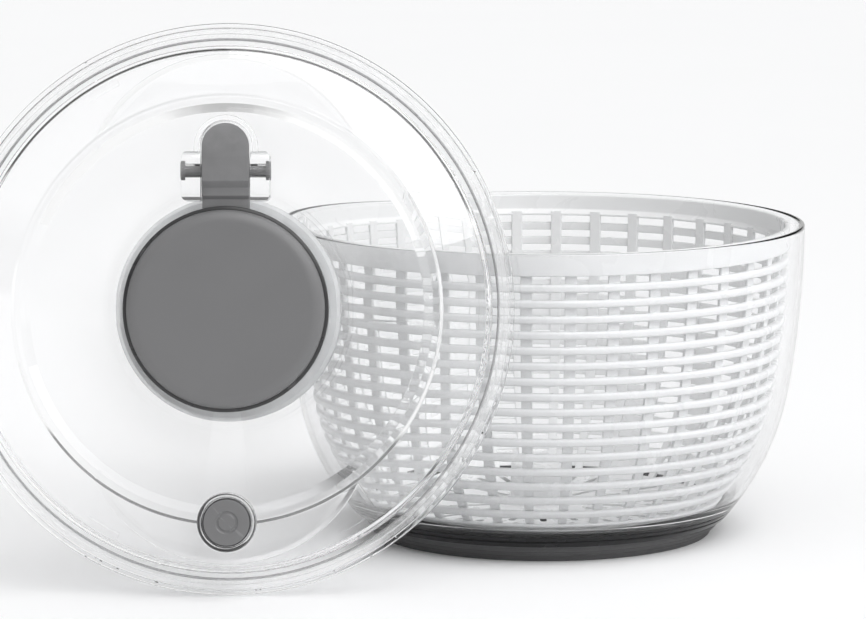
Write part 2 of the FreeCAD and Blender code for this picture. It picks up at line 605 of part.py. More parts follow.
def make_lid_shell():
    """Clear lid: lip, flange, step, sloping annulus, ridge, flat middle, lobes, lugs and tail guard."""
    body = new_body("lid_shell", LID_PLACE)
    spin(body, [("0", "-lip_drop"), (f"{LID_RADIUS} - lip_round", "-lip_drop"),
                (LID_RADIUS, "-lip_drop + lip_round"), (LID_RADIUS, "-lip_round"),
                (f"{LID_RADIUS} - lip_round", "0"), (STEP_RADIUS, "0"),
                (f"{STEP_RADIUS} - 0.4", "step_height - 0.8"), (SHOULDER_RADIUS, "step_height + 0.6"),
                (RIDGE_RADIUS, "dome_height"), (RIDGE_OUTER, "dome_height + ridge_height"),
                (RIDGE_INNER, "dome_height + ridge_height"), (FLAT_RADIUS, "dome_height"),
                ("0", "dome_height")])
    block(body, lobe_outline(LOBE_RADIUS), "0", "dome_height", "Lobes")
    add_lugs(body)
    add_guard(body)
    lip_inner = "(rim_radius + lip_gap)"
    step_inner = f"({STEP_RADIUS} - lid_wall)"
    guide_outer = f"({GUIDE_RADIUS} + guide_wall)"
    spin(body, [("0", "-lip_drop - 1"), (lip_inner, "-lip_drop - 1"), (lip_inner, "-lid_wall"),
                (step_inner, "-lid_wall"), (f"{step_inner} - 0.5", "step_height - 2"),
                (f"{RIDGE_RADIUS} - 0.9", FLAT_UNDER), (guide_outer, FLAT_UNDER), (guide_outer, "guide_low"),
                ("0", "guide_low")], "Cavity", "Groove")
    inner_lobe = f"({LOBE_RADIUS} - lid_wall)"
    ring = new_sketch(body, "LobeCavitySketch", "XY_Plane", "-lid_wall")
    draw_outline(ring, lobe_outline(inner_lobe))
    draw_circle(ring, guide_outer)
    extrude(body, ring, f"{FLAT_UNDER} + lid_wall", "LobeCavity", "Pocket", reverse=True)
    disc(body, GUIDE_RADIUS, "guide_low - 1", "dome_height + 1", "PlungerHole", "Pocket")
    disc(body, "collar_body", "0", "dome_height + ridge_height + 1", "ButtonHole", "Pocket",
         up=f"-{BRAKE_REACH}")
    disc(body, "collar_flange", "dome_height", "dome_height + ridge_height + 1", "ButtonSeat", "Pocket",
         up=f"-{BRAKE_REACH}")
    boss = disc(body, "boss_radius", "housing_top", f"{FLAT_UNDER} + 0.5", "ScrewBoss",
                across="housing_screw_circle")
    around(body, [boss], "4", "ScrewBosses")
    hole = disc(body, "screw_radius", "housing_top - 1", "housing_top + screw_grip", "ScrewHole", "Pocket",
                across="housing_screw_circle")
    around(body, [hole], "4", "ScrewHoles")


def add_lugs(body):
    """Two lugs, rounded over the pin, with a bore and a recess for the pin's head."""
    near = "(arm_width / 2 + lug_gap)"
    far = f"({near} + lug_width)"
    back = "(pivot_reach + lug_back)"
    front = f"({back} - lug_length)"
    low = f"({FLAT_UNDER} + 0.5)"
    top = f"({PIN_UP} + lug_round)"
    shoulder = f"({PIN_UP} + lug_round / 2)"
    corners = [(front, low), (back, low), (back, shoulder), (f"{back} - lug_round / 2", top),
               (f"{front} + lug_round / 2", top), (front, shoulder)]
    for side, name in (("", "Right"), ("-", "Left")):
        inner, outer = (near, far) if side == "" else (f"-{far}", f"-{near}")
        side_block(body, corners, inner, outer, name + "Lug")
        side_disc(body, "pin_radius", inner, outer, "pivot_reach", PIN_UP, name + "Bore", "Pocket")
        deep = f"({far} - pin_head_depth)"
        seat = (deep, far) if side == "" else (f"-{far}", f"-{deep}")
        side_disc(body, "pin_head_radius", *seat, "pivot_reach", PIN_UP, name + "HeadSeat", "Pocket")


def add_guard(body):
    """U-shaped wall round the lever's tail."""
    inner = "(arm_width / 2 + guard_gap)"
    outer = f"({inner} + guard_wall)"
    middle = "(pivot_reach + tail_reach - arm_width / 2)"
    foot = "(pivot_reach + lug_back - 2)"
    corners = [(inner, foot), (outer, foot), (outer, middle, outer), ("0", f"{middle} + {outer}", outer),
               (f"-{outer}", middle), (f"-{outer}", foot), (f"-{inner}", foot),
               (f"-{inner}", middle, f"-{inner}"),
               ("0", f"{middle} + {inner}", f"-{inner}"), (inner, middle)]
    block(body, corners, f"{FLAT_UNDER} + 0.5", "dome_height + guard_height", "Guard")


def make_lid_gasket():
    """Soft ring under the lid's flange, where it meets the bowl's rim."""
    body = new_body("lid_gasket", LID_PLACE)
    outer = "(rim_radius - free_gap)"
    inner = f"({outer} - gasket_width)"
    low = "(-lid_wall - gasket_height)"
    spin(body, [(inner, low), (outer, low), (outer, "-lid_wall"), (inner, "-lid_wall")])


LUG_FAR = "(arm_width / 2 + lug_gap + lug_width)"
HEAD_SEAT = f"({LUG_FAR} - pin_head_depth)"


def make_hinge_pin():
    """The lever's pin, with a head in the right lug."""
    body = new_body("hinge_pin", LID_PLACE)
    side_disc(body, "pin_radius", f"-{HEAD_SEAT} - pin_cap_grip", HEAD_SEAT, "pivot_reach", PIN_UP, "Shaft")
    side_disc(body, "pin_head_radius", HEAD_SEAT, f"{LUG_FAR} + pin_proud", "pivot_reach", PIN_UP, "Head")


def make_pin_cap():
    """Push-on cap that holds the pin's plain end in the left lug."""
    body = new_body("pin_cap", LID_PLACE)
    side_disc(body, "pin_head_radius", f"-{LUG_FAR} - pin_proud", f"-{HEAD_SEAT}", "pivot_reach", PIN_UP,
              "Cap")
    side_disc(body, "pin_radius", f"-{HEAD_SEAT} - pin_cap_grip", f"-{HEAD_SEAT}", "pivot_reach", PIN_UP,
              "Socket", "Pocket")


# ---------------------------------------------------------------- press lever

def make_press_pad():
    """Round grey pad: a shell with an edge step, a rounded bevel and a flat top, notched for the arm."""
    body = new_body("press_pad", LID_PLACE)
    shelf = f"({PAD_TOP} - pad_bevel_drop)"
    edge = "(pad_radius - pad_edge)"
    spin(body, [("pad_radius - pad_wall", PAD_LOW), ("pad_radius", PAD_LOW), ("pad_radius", f"{shelf} - 1.2"),
                (edge, shelf, "pad_bevel * 2.2"), (f"{edge} - pad_bevel", PAD_TOP), ("0", PAD_TOP),
                ("0", f"{PAD_TOP} - pad_wall"), (f"{edge} - pad_bevel", f"{PAD_TOP} - pad_wall"),
                ("pad_radius - pad_wall", f"{shelf} - pad_wall")])
    half = "(arm_width / 2 + 0.2)"
    notch = box_corners(f"-{half}", half, "pad_radius * 0.7", "pad_radius + 1")
    block(body, notch, f"{PAD_LOW} - 1", f"{PAD_LOW} + arm_height + 0.2", "Notch", "Pocket")
    boss = disc(body, "boss_radius", f"{PAD_LOW} + pad_wall", f"{PAD_TOP} - pad_wall + 0.5", "Boss",
                across="pad_radius / 2")
    around(body, [boss], "3", "Bosses")
    hole = disc(body, "screw_radius", f"{PAD_LOW} + pad_wall - 1", f"{PAD_LOW} + pad_wall + screw_grip",
                "BossHole", "Pocket", across="pad_radius / 2")
    around(body, [hole], "3", "BossHoles")


def make_lever_arm():
    """Grey arm: base plate under the pad, stepped neck, boss on the pin and a thin rounded tail."""
    body = new_body("lever_arm", LID_PLACE)
    half = "(arm_width / 2)"
    tail = "(pivot_reach + tail_reach)"
    tail_low = f"({PIN_UP} + arm_boss - 1 - tail_thickness)"
    top = f"({PIN_UP} + arm_boss)"
    neck = f"({PAD_LOW} + arm_height)"
    corners = [("pad_radius * 0.8", PAD_LOW), ("pivot_reach - arm_boss - 1", PAD_LOW),
               ("pivot_reach - 3", f"{PIN_UP} - arm_boss"), ("pivot_reach + 3", f"{PIN_UP} - arm_boss"),
               ("pivot_reach + arm_boss", PIN_UP), ("pivot_reach + arm_boss + 2", tail_low), (tail, tail_low),
               (tail, f"{tail_low} + tail_thickness - 1"), (f"{tail} - 1", f"{tail_low} + tail_thickness"),
               ("pivot_reach + 6", top), ("pivot_reach - 4.5", top), ("pivot_reach - 7.5", f"{neck} + 2.6"),
               ("pivot_reach - 11", f"{neck} + 2"), ("pivot_reach - 12.5", neck), ("pad_radius * 0.8", neck)]
    side_block(body, corners, f"-{half}", half, "Arm")
    middle = f"({tail} - {half})"
    wide = f"({half} + 1)"
    corners = [(wide, middle), (wide, f"{tail} + 1"), (f"-{wide}", f"{tail} + 1"), (f"-{wide}", middle),
               (f"-{half}", middle, f"-{half}"), ("0", tail, f"-{half}"), (half, middle)]
    block(body, corners, f"{PAD_LOW} - 1", f"{top} + 1", "TailRound", "Pocket")
    disc(body, "pad_radius - pad_wall", PAD_LOW, f"{PAD_LOW} + pad_wall", "BasePlate")
    side_disc(body, "pin_radius + running_fit", f"-{wide}", wide, "pivot_reach", PIN_UP, "PinBore", "Pocket")
    hole = disc(body, "screw_radius", f"{PAD_LOW} - 1", f"{PAD_LOW} + pad_wall + 1", "PlateHole", "Pocket",
                across="pad_radius / 2")
    around(body, [hole], "3", "PlateHoles")


def make_screws(label, circle, count, seat, grip, placement=LID_PLACE):
    """Ring of screws whose heads hang below a seat, each with a cross recess."""
    body = new_body(label, placement)
    shank = disc(body, "screw_radius", seat, f"{seat} + {grip}", "Shank", across=circle)
    head = disc(body, "screw_head_radius", f"{seat} - screw_head_height", seat, "Head", across=circle)
    cuts = []
    for name, long, wide in (("RecessAlong", "recess_length", "recess_width"),
                             ("RecessAcross", "recess_width", "recess_length")):
        corners = box_corners(f"{circle} - {long} / 2", f"{circle} + {long} / 2",
                              f"-{wide} / 2", f"{wide} / 2")
        low = f"({seat} - screw_head_height)"
        cuts.append(block(body, corners, low, f"{low} + recess_depth", name, "Pocket"))
    around(body, [shank, head] + cuts, count, "Ring")


# ---------------------------------------------------------------- plunger and drive

def make_plunger():
    """Hollow post that the lever presses down; its domed head stands under the pad."""
    body = new_body("plunger", LID_PLACE)
    recess = f"({PLUNGER_LOW} + nut_height)"
    shoulder = f"({PLUNGER_TOP} - plunger_dome)"
    dome = "((plunger_radius^2 + plunger_dome^2) / (2 * plunger_dome))"
    spin(body, [("nut_radius", PLUNGER_LOW), ("plunger_radius", PLUNGER_LOW),
                ("plunger_radius", shoulder, dome), ("0", PLUNGER_TOP), ("0", PLUNGER_ROOF),
                (PLUNGER_BORE, PLUNGER_ROOF), (PLUNGER_BORE, recess), ("nut_radius", recess)])


def make_drive_nut():
    """Ring in the plunger's mouth whose two pegs run in the spindle's grooves."""
    body = new_body("drive_nut", LID_PLACE)
    top = f"({PLUNGER_LOW} + nut_height)"
    spin(body, [(PLUNGER_BORE, PLUNGER_LOW), ("nut_radius", PLUNGER_LOW), ("nut_radius", top),
                (PLUNGER_BORE, top)])
    inner = "(spindle_radius - groove_depth + free_gap)"
    reach = f"({PLUNGER_BORE} + 1)"
    for name, near, far in (("RightPeg", inner, reach), ("LeftPeg", f"-{reach}", f"-{inner}")):
        side_disc(body, "peg_radius", near, far, "0", f"{PLUNGER_LOW} + peg_rise", name)


def make_spindle():
    """Upright spindle: grooved post, thrust collar, neck, seat for the pawl wheel and journal."""
    body = new_body("spindle", LID_PLACE)
    neck_low = f"({COVER_LOW} - free_gap)"
    hole_end = f"({WASHER_TOP} + disc_screw_hole)"
    spin(body, [("disc_screw_radius", WASHER_TOP), ("journal_radius", WASHER_TOP),
                ("journal_radius", SEAT_LOW), ("seat_radius", SEAT_LOW), ("seat_radius", neck_low),
                ("neck_radius", neck_low), ("neck_radius", COVER_TOP),
                ("collar_radius", COVER_TOP), ("collar_radius", COLLAR_TOP),
                ("spindle_radius", COLLAR_TOP), ("spindle_radius", "spindle_top"), ("0", "spindle_top"),
                ("0", hole_end), ("disc_screw_radius", hole_end)])
    for name, on_right in (("FirstGroove", True), ("SecondGroove", False)):
        cut_groove(body, name, on_right)


def cut_groove(body, name, on_right):
    """One helical groove, as wide and deep as a peg needs, open at the spindle's top.

    It starts a little before the peg's lowest place, so the peg never meets the groove's end.
    """
    low = f"({PLUNGER_LOW} + peg_rise - groove_pitch * groove_lead_in / 360)"
    sketch = new_sketch(body, name + "Sketch", "XZ_Plane")
    start = FreeCAD.Rotation(FreeCAD.Vector(0, 1, 0), -number_of("groove_lead_in"))
    sketch.AttachmentOffset = FreeCAD.Placement(FreeCAD.Vector(), start)
    sketch.setExpression("AttachmentOffset.Rotation.Angle", bound("-groove_lead_in"))
    inner, outer = "(spindle_radius - groove_depth)", "(spindle_radius + 1)"
    left, right = (inner, outer) if on_right else (f"-{outer}", f"-{inner}")
    draw_outline(sketch, box_corners(left, right, f"{low} - groove_width / 2", f"{low} + groove_width / 2"))
    groove = body.newObject("PartDesign::SubtractiveHelix", name)
    groove.Profile = sketch
    groove.ReferenceAxis = (sketch, ["V_Axis"])
    groove.Mode = 0
    groove.Pitch = number_of("groove_pitch")
    groove.setExpression("Pitch", bound("groove_pitch"))
    reach = f"spindle_top + groove_width - {low}"
    groove.Height = number_of(reach)
    groove.setExpression("Height", bound(reach))
    groove.LeftHanded = False
    body.Tip = groove


def make_spring(label, middle_radius, wire, turns, low, high, across="0", up="0"):
    """Compression spring: a round wire swept along a helix between two heights."""
    wire_size = number_of(wire)
    bottom = number_of(low) + wire_size / 2
    height = number_of(high) - number_of(low) - wire_size
    radius = number_of(middle_radius)
    helix = Part.makeLongHelix(height / number_of(turns), height, radius)
    profile = Part.Wire(Part.makeCircle(wire_size / 2, FreeCAD.Vector(radius, 0, 0), FreeCAD.Vector(0, 1, 0)))
    solid = Part.Wire(helix.Edges).makePipeShell([profile], True, True)
    spring = doc.addObject("Part::Feature", label)
    spring.Label = label
    spring.Shape = solid
    foot = FreeCAD.Vector(number_of(across), number_of(up), bottom)
    spring.Placement = LID_PLACE.multiply(FreeCAD.Placement(foot, FreeCAD.Rotation()))
    NODES.append(spring)


def make_pawl_wheel():
    """Wheel on the spindle with curved spring fingers, the driving half of the one-way clutch."""
    body = new_body("pawl_wheel", LID_PLACE)
    low = f"({SEAT_LOW})"
    high = f"({COVER_LOW} - free_gap)"
    sketch = new_sketch(body, "HubSketch", "XY_Plane", low)
    draw_circle(sketch, "pawl_hub_radius")
    draw_circle(sketch, "seat_radius")
    extrude(body, sketch, f"({high}) - {low}", "Hub")
    root = "(pawl_hub_radius - 1)"
    tip = "(ratchet_tip - free_gap)"
    corners = [(root, "0"), (f"{tip} * 0.72", f"{tip} * 0.5"), (f"{tip} * 0.34", f"{tip} * 0.93"),
               (f"{tip} * 0.34 - pawl_finger * 0.6", f"{tip} * 0.93 - pawl_finger"),
               (f"{tip} * 0.72 - pawl_finger", f"{tip} * 0.5 - pawl_finger * 0.4"),
               (f"{root} - pawl_finger", "pawl_finger")]
    finger = block(body, corners, f"{low} + 1", f"{high} - 1", "Finger")
    around(body, [finger], "pawl_count", "Fingers")


def make_ratchet_ring():
    """Toothed ring in the disc's drum, the driven half of the one-way clutch."""
    body = new_body("ratchet_ring", LID_PLACE)
    high = f"({DRUM_FLOOR} + ratchet_height)"
    sketch = new_sketch(body, "RingSketch", "XY_Plane", DRUM_FLOOR)
    draw_circle(sketch, "ratchet_radius")
    draw_circle(sketch, "ratchet_root")
    extrude(body, sketch, f"{high} - {DRUM_FLOOR}", "Ring")
    root = "(ratchet_root + 0.6)"
    pitch = f"({root} * 6.2832 / ratchet_teeth)"
    corners = [("ratchet_tip", f"-{pitch} * 0.3"), (root, f"-{pitch} * 0.36"), (root, f"{pitch} * 0.3")]
    tooth = block(body, corners, DRUM_FLOOR, high, "Tooth")
    around(body, [tooth], "ratchet_teeth", "Teeth")


def make_drive_disc():
    """Clear disc that turns the basket: flat plate with drive tabs, and a drum round the mechanism."""
    body = new_body("drive_disc", LID_PLACE)
    inner = "(drum_radius - drum_wall)"
    spin(body, [("bush_radius", BOSS_LOW), ("disc_boss_radius", BOSS_LOW), ("disc_boss_radius", DRUM_LOW),
                ("drum_radius - 2", DRUM_LOW), ("drum_radius", f"{DRUM_LOW} + 2"), ("drum_radius", DISC_LOW),
                (DISC_RADIUS, DISC_LOW), (DISC_RADIUS, "disc_top"), (inner, "disc_top"), (inner, DRUM_FLOOR),
                ("bush_radius", DRUM_FLOOR)])
    half = "(tab_width / 2)"
    inner_tab = f"({DISC_RADIUS} - tab_wall)"
    reach = f"sqrt(({DISC_RADIUS})^2 - {half}^2)"
    inner_reach = f"sqrt({inner_tab}^2 - {half}^2)"
    corners = [(inner_reach, f"-{half}"), (reach, f"-{half}", DISC_RADIUS), (reach, half),
               (inner_reach, half, f"-{inner_tab}")]
    tab = block(body, corners, f"{DISC_LOW} - tab_drop", f"{DISC_LOW} + 0.5", "Tab")
    around(body, [tab], "tab_count", "Tabs")


def make_disc_bush():
    """Bush in the disc's boss that turns on the spindle's journal."""
    body = new_body("disc_bush", LID_PLACE)
    inner = "(journal_radius + running_fit)"
    spin(body, [(inner, BOSS_LOW), ("bush_radius", BOSS_LOW), ("bush_radius", DRUM_FLOOR),
                (inner, DRUM_FLOOR)])


def make_disc_washer():
    """Washer that keeps the disc on the journal."""
    body = new_body("disc_washer", LID_PLACE)
    spin(body, [("disc_screw_radius", f"{WASHER_TOP} - washer_height"),
                ("washer_radius", f"{WASHER_TOP} - washer_height"), ("washer_radius", WASHER_TOP),
                ("disc_screw_radius", WASHER_TOP)])


def make_disc_screw():
    """Screw into the spindle's end under the washer."""
    body = new_body("disc_screw", LID_PLACE)
    seat = f"({WASHER_TOP} - washer_height)"
    low = f"({seat} - disc_screw_height)"
    spin(body, [("0", low), ("disc_screw_head - 1", low), ("disc_screw_head", f"{low} + 1"),
                ("disc_screw_head", seat), ("disc_screw_radius", seat),
                ("disc_screw_radius", f"{WASHER_TOP} + disc_screw_hole - 1"),
                ("0", f"{WASHER_TOP} + disc_screw_hole - 1")])
    for name, wide, deep in (("RecessAlong", "recess_length * 1.4", "recess_width"),
                             ("RecessAcross", "recess_width", "recess_length * 1.4")):
        corners = box_corners(f"-{wide} / 2", f"{wide} / 2", f"-{deep} / 2", f"{deep} / 2")
        block(body, corners, low, f"{low} + recess_depth", name, "Pocket")


# ---------------------------------------------------------------- mechanism housing

def make_mechanism_housing():
    """Pale cup under the lid: a roof screwed to the lid's bosses and a skirt round the mechanism."""
    body = new_body("mechanism_housing", LID_PLACE)
    inner = "(housing_radius - housing_wall)"
    roof = "(housing_top - housing_wall)"
    hole = f"({GUIDE_RADIUS} + guide_wall + free_gap)"
    spin(body, [(inner, COVER_TOP), ("housing_radius", COVER_TOP), ("housing_radius", "housing_top - 1.5"),
                ("housing_radius - 1.5", "housing_top"), (hole, "housing_top"), (hole, roof), (inner, roof)])
    boss = disc(body, "boss_radius", COVER_TOP, f"{roof} + 0.5", "Post", across="cover_screw_circle")
    around(body, [boss], "3", "Posts")
    deep = disc(body, "screw_radius", f"{COVER_TOP} - 1", f"{COVER_TOP} + screw_grip", "PostHole", "Pocket",
                across="cover_screw_circle")
    around(body, [deep], "3", "PostHoles")
    through = disc(body, "screw_radius", f"{roof} - 1", "housing_top + 1", "RoofHole", "Pocket",
                   across="housing_screw_circle")
    around(body, [through], "4", "RoofHoles")


def make_housing_cover():
    """Plate that closes the housing and carries the spindle's neck."""
    body = new_body("housing_cover", LID_PLACE)
    hole = "(neck_radius + running_fit)"
    spin(body, [(hole, COVER_LOW), ("housing_radius - 1", COVER_LOW), ("housing_radius", f"{COVER_LOW} + 1"),
                ("housing_radius", COVER_TOP), (hole, COVER_TOP)])
    through = disc(body, "screw_radius", f"{COVER_LOW} - 1", f"{COVER_TOP} + 1", "ScrewHole", "Pocket",
                   across="cover_screw_circle")
    around(body, [through], "3", "ScrewHoles")


# ---------------------------------------------------------------- brake

BRAKE_AT = {"up": f"-{BRAKE_REACH}"}
BUTTON_TOP = "(dome_height + button_rise)"
COLLAR_HIGH = "(dome_height + collar_rise)"
STEM_LOW = f"({SHOE_LOW} + shoe_height - shoe_grip)"


def make_button_collar():
    """Clear collar pressed into the lid round the brake button, with a floor for the spring."""
    body = new_body("button_collar", LID_PLACE)
    disc(body, "collar_body", "collar_low", "dome_height", "Barrel", **BRAKE_AT)
    disc(body, "collar_flange", "dome_height", COLLAR_HIGH, "Flange", **BRAKE_AT)
    floor = "(collar_low + collar_floor)"
    disc(body, "button_radius + free_gap", floor, f"{COLLAR_HIGH} + 1", "Well", "Pocket", **BRAKE_AT)
    disc(body, "stem_radius + free_gap", "collar_low - 1", f"{floor} + 1", "StemHole", "Pocket", **BRAKE_AT)


def make_brake_button():
    """Grey button: a cap with a skirt, a ring on its face and a socket for the stem."""
    body = new_body("brake_button", LID_PLACE)
    roof = f"({BUTTON_TOP} - button_wall)"
    skirt_low = f"({BUTTON_TOP} - button_skirt)"
    disc(body, "button_radius", skirt_low, BUTTON_TOP, "Cap", **BRAKE_AT)
    sketch = new_sketch(body, "UndersideSketch", "XY_Plane", skirt_low)
    draw_circle(sketch, "button_radius - button_wall", **BRAKE_AT)
    draw_circle(sketch, "stem_radius + button_wall", **BRAKE_AT)
    extrude(body, sketch, f"{roof} - {skirt_low}", "Underside", "Pocket", reverse=True)
    disc(body, "stem_radius", skirt_low, roof, "StemSocket", "Pocket", **BRAKE_AT)
    ring = new_sketch(body, "DimpleSketch", "XY_Plane", f"{BUTTON_TOP} - dimple_depth")
    draw_circle(ring, "dimple_radius + dimple_width / 2", **BRAKE_AT)
    draw_circle(ring, "dimple_radius - dimple_width / 2", **BRAKE_AT)
    extrude(body, ring, "dimple_depth", "Dimple", "Pocket", reverse=True)


def make_brake_stem():
    """Rod from the button down to the brake shoe."""
    body = new_body("brake_stem", LID_PLACE)
    disc(body, "stem_radius", STEM_LOW, f"{BUTTON_TOP} - button_wall", "Rod", **BRAKE_AT)


def make_brake_shoe():
    """Rubber shoe on the stem's end, just above the drive disc."""
    body = new_body("brake_shoe", LID_PLACE)
    disc(body, "shoe_radius", SHOE_LOW, f"{SHOE_LOW} + shoe_height", "Shoe", **BRAKE_AT)
    disc(body, "stem_radius", STEM_LOW, f"{SHOE_LOW} + shoe_height + 1", "Socket", "Pocket", **BRAKE_AT)


# ---------------------------------------------------------------- building and writing

def make_all():
    """Every sub-part, from the bowl to the brake."""
    make_outer_bowl()
    make_base_ring()
    make_grip_foot()
    make_basket()
    make_pivot_bearing()
    make_lid_shell()
    make_lid_gasket()
    make_hinge_pin()
    make_pin_cap()
    make_press_pad()
    make_lever_arm()
    make_screws("pad_screws", "pad_radius / 2", "3", PAD_LOW, "(pad_wall + screw_grip)")
    make_plunger()
    make_drive_nut()
    coil = f"({PLUNGER_BORE} - spring_wire / 2 - free_gap)"
    make_spring("return_spring", coil, "spring_wire", "spring_turns", "spindle_top", PLUNGER_ROOF)
    make_spindle()
    make_pawl_wheel()
    make_ratchet_ring()
    make_drive_disc()
    make_disc_bush()
    make_disc_washer()
    make_disc_screw()
    make_mechanism_housing()
    make_screws("housing_screws", "housing_screw_circle", "4", "(housing_top - housing_wall)",
                "(housing_wall + screw_grip)")
    make_housing_cover()
    make_screws("cover_screws", "cover_screw_circle", "3", COVER_LOW, "(cover_wall + screw_grip)")
    make_button_collar()
    make_brake_button()
    make_brake_stem()
    make_brake_shoe()
    make_spring("brake_spring", "stem_radius + free_gap + brake_wire", "brake_wire", "brake_turns",
                "collar_low + collar_floor", f"{BUTTON_TOP} - button_skirt",
                up=f"-{BRAKE_REACH}")


def check_all():
    """Stop if any object failed to recompute or any sub-part's shape is empty or not valid."""
    for item in doc.Objects:
        bad = [state for state in item.State if state in ("Invalid", "Error")]
        if bad:
            raise RuntimeError(f"{item.Label} of {item.TypeId}: {bad}")
    for node in NODES:
        if node.Shape.isNull() or not node.Shape.isValid() or not node.Shape.Solids:
            raise RuntimeError(f"{node.Label} has no valid solid")


def write_all():
    """One STEP file for each sub-part."""
    os.makedirs("parts", exist_ok=True)
    for node in NODES:
        node.Shape.exportStep(os.path.join("parts", node.Label + ".step"))
        box = node.Shape.BoundBox
        print(f"{node.Label}: {len(node.Shape.Solids)} solids, {node.Shape.Volume:.0f} mm3, "
              f"x {box.XMin:.1f} to {box.XMax:.1f}, y {box.YMin:.1f} to {box.YMax:.1f}, "
              f"z {box.ZMin:.1f} to {box.ZMax:.1f}")


make_all()
doc.recompute()
check_all()
write_all()
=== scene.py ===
"""Salad spinner: clear bowl, slotted white basket and a clear press-lever lid standing beside the bowl."""

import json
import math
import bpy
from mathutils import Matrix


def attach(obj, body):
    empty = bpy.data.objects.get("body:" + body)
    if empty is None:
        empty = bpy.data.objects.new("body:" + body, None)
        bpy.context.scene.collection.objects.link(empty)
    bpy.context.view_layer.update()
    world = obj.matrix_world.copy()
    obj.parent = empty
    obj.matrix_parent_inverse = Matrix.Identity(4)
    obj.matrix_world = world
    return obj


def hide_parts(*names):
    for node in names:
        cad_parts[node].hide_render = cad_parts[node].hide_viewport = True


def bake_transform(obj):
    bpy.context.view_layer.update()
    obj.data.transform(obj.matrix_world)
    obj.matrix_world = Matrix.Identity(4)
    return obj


bl_info = {
    "name": "Salad Spinner",
    "version": (1, 0, 0),
    "blender": (4, 5, 0),
    "location": "3D View > Sidebar > Spinner",
    "description": "Builds a salad spinner with its basket, lid, press lever and brake, and its studio",
    "category": "Mesh",
}

import bmesh
import bpy
from bpy.props import FloatProperty, FloatVectorProperty, IntProperty, PointerProperty
from mathutils import Matrix, Vector

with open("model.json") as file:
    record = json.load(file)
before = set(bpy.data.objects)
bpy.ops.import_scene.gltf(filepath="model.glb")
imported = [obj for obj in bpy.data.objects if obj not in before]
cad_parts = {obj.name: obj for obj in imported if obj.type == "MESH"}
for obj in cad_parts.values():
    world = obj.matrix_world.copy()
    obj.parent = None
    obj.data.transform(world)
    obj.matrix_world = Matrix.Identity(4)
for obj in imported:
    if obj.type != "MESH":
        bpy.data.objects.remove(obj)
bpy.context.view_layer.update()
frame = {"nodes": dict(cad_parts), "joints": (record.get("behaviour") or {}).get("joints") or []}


# ------------------------------------------------------------------ places read from the frame

def joint_named(name):
    """One joint of the frame."""
    return next(joint for joint in frame["joints"] if joint["name"] == name)


def lid_matrix():
    """The lid's own frame: +Z out of its top face, +Y towards the lever's pin."""
    turn = joint_named("spindle_turn")
    normal = Vector(turn["axis"]).normalized()
    side = Vector((1, 0, 0))
    matrix = Matrix((side, normal.cross(side), normal)).transposed().to_4x4()
    matrix.translation = Vector(turn["pos_m"])
    return matrix


LID = lid_matrix()
UPRIGHT = Matrix.Identity(4)


def own_box(node, matrix=UPRIGHT):
    """Lowest and highest corner of a node, measured in the given frame."""
    inverse = matrix.inverted()
    points = [inverse @ vertex.co for vertex in frame["nodes"][node].data.vertices]
    return Vector(map(min, zip(*points))), Vector(map(max, zip(*points)))


def lid_box(node):
    """Lowest and highest corner of a node in the lid's own frame."""
    return own_box(node, LID)


PIN = LID.inverted() @ Vector(joint_named("lever_swing")["pos_m"])
BRAKE = Vector((0, (lid_box("brake_stem")[0].y + lid_box("brake_stem")[1].y) / 2, 0))


# ------------------------------------------------------------------ settings

def length(label, text, default):
    """A size in metres."""
    return FloatProperty(name=label, description=text, default=default, unit="LENGTH", precision=5)


def colour(label, text, default):
    """A surface colour."""
    return FloatVectorProperty(name=label, description=text, default=default, subtype="COLOR", size=3,
                               min=0, max=1)


def share(label, text, default):
    """A share from 0 to 1."""
    return FloatProperty(name=label, description=text, default=default, subtype="FACTOR", min=0, max=1)


class BowlSizes(bpy.types.PropertyGroup):
    """Sizes of the clear bowl and its foot rings."""
    wall: length("Wall", "Thickness of the bowl's wall", 0.0025)
    upper_arc: length("Upper arc", "Radius of the wall's upper arc", 0.471)
    lower_arc: length("Lower arc", "Radius of the wall's lower arc", 0.128)
    arc_joint: length("Arc joint", "Height where the two arcs meet", 0.071)
    rim_round: length("Rim round", "Rounding of the rim", 0.0011)
    ring_skin: length("Ring skin", "Thickness of the foot rings outside the bowl", 0.0026)
    grip_step: length("Grip step", "How far the grip foot is set back", 0.0007)
    spigot: length("Spigot", "Radius of the spigot", 0.006)
    spigot_top: length("Spigot top", "Height of the spigot's top", 0.026)
    foot_hole: length("Foot hole", "Radius of the grip foot's open middle", 0.074)
    around: IntProperty(name="Segments", description="Segments round the bowl", default=320, min=24)


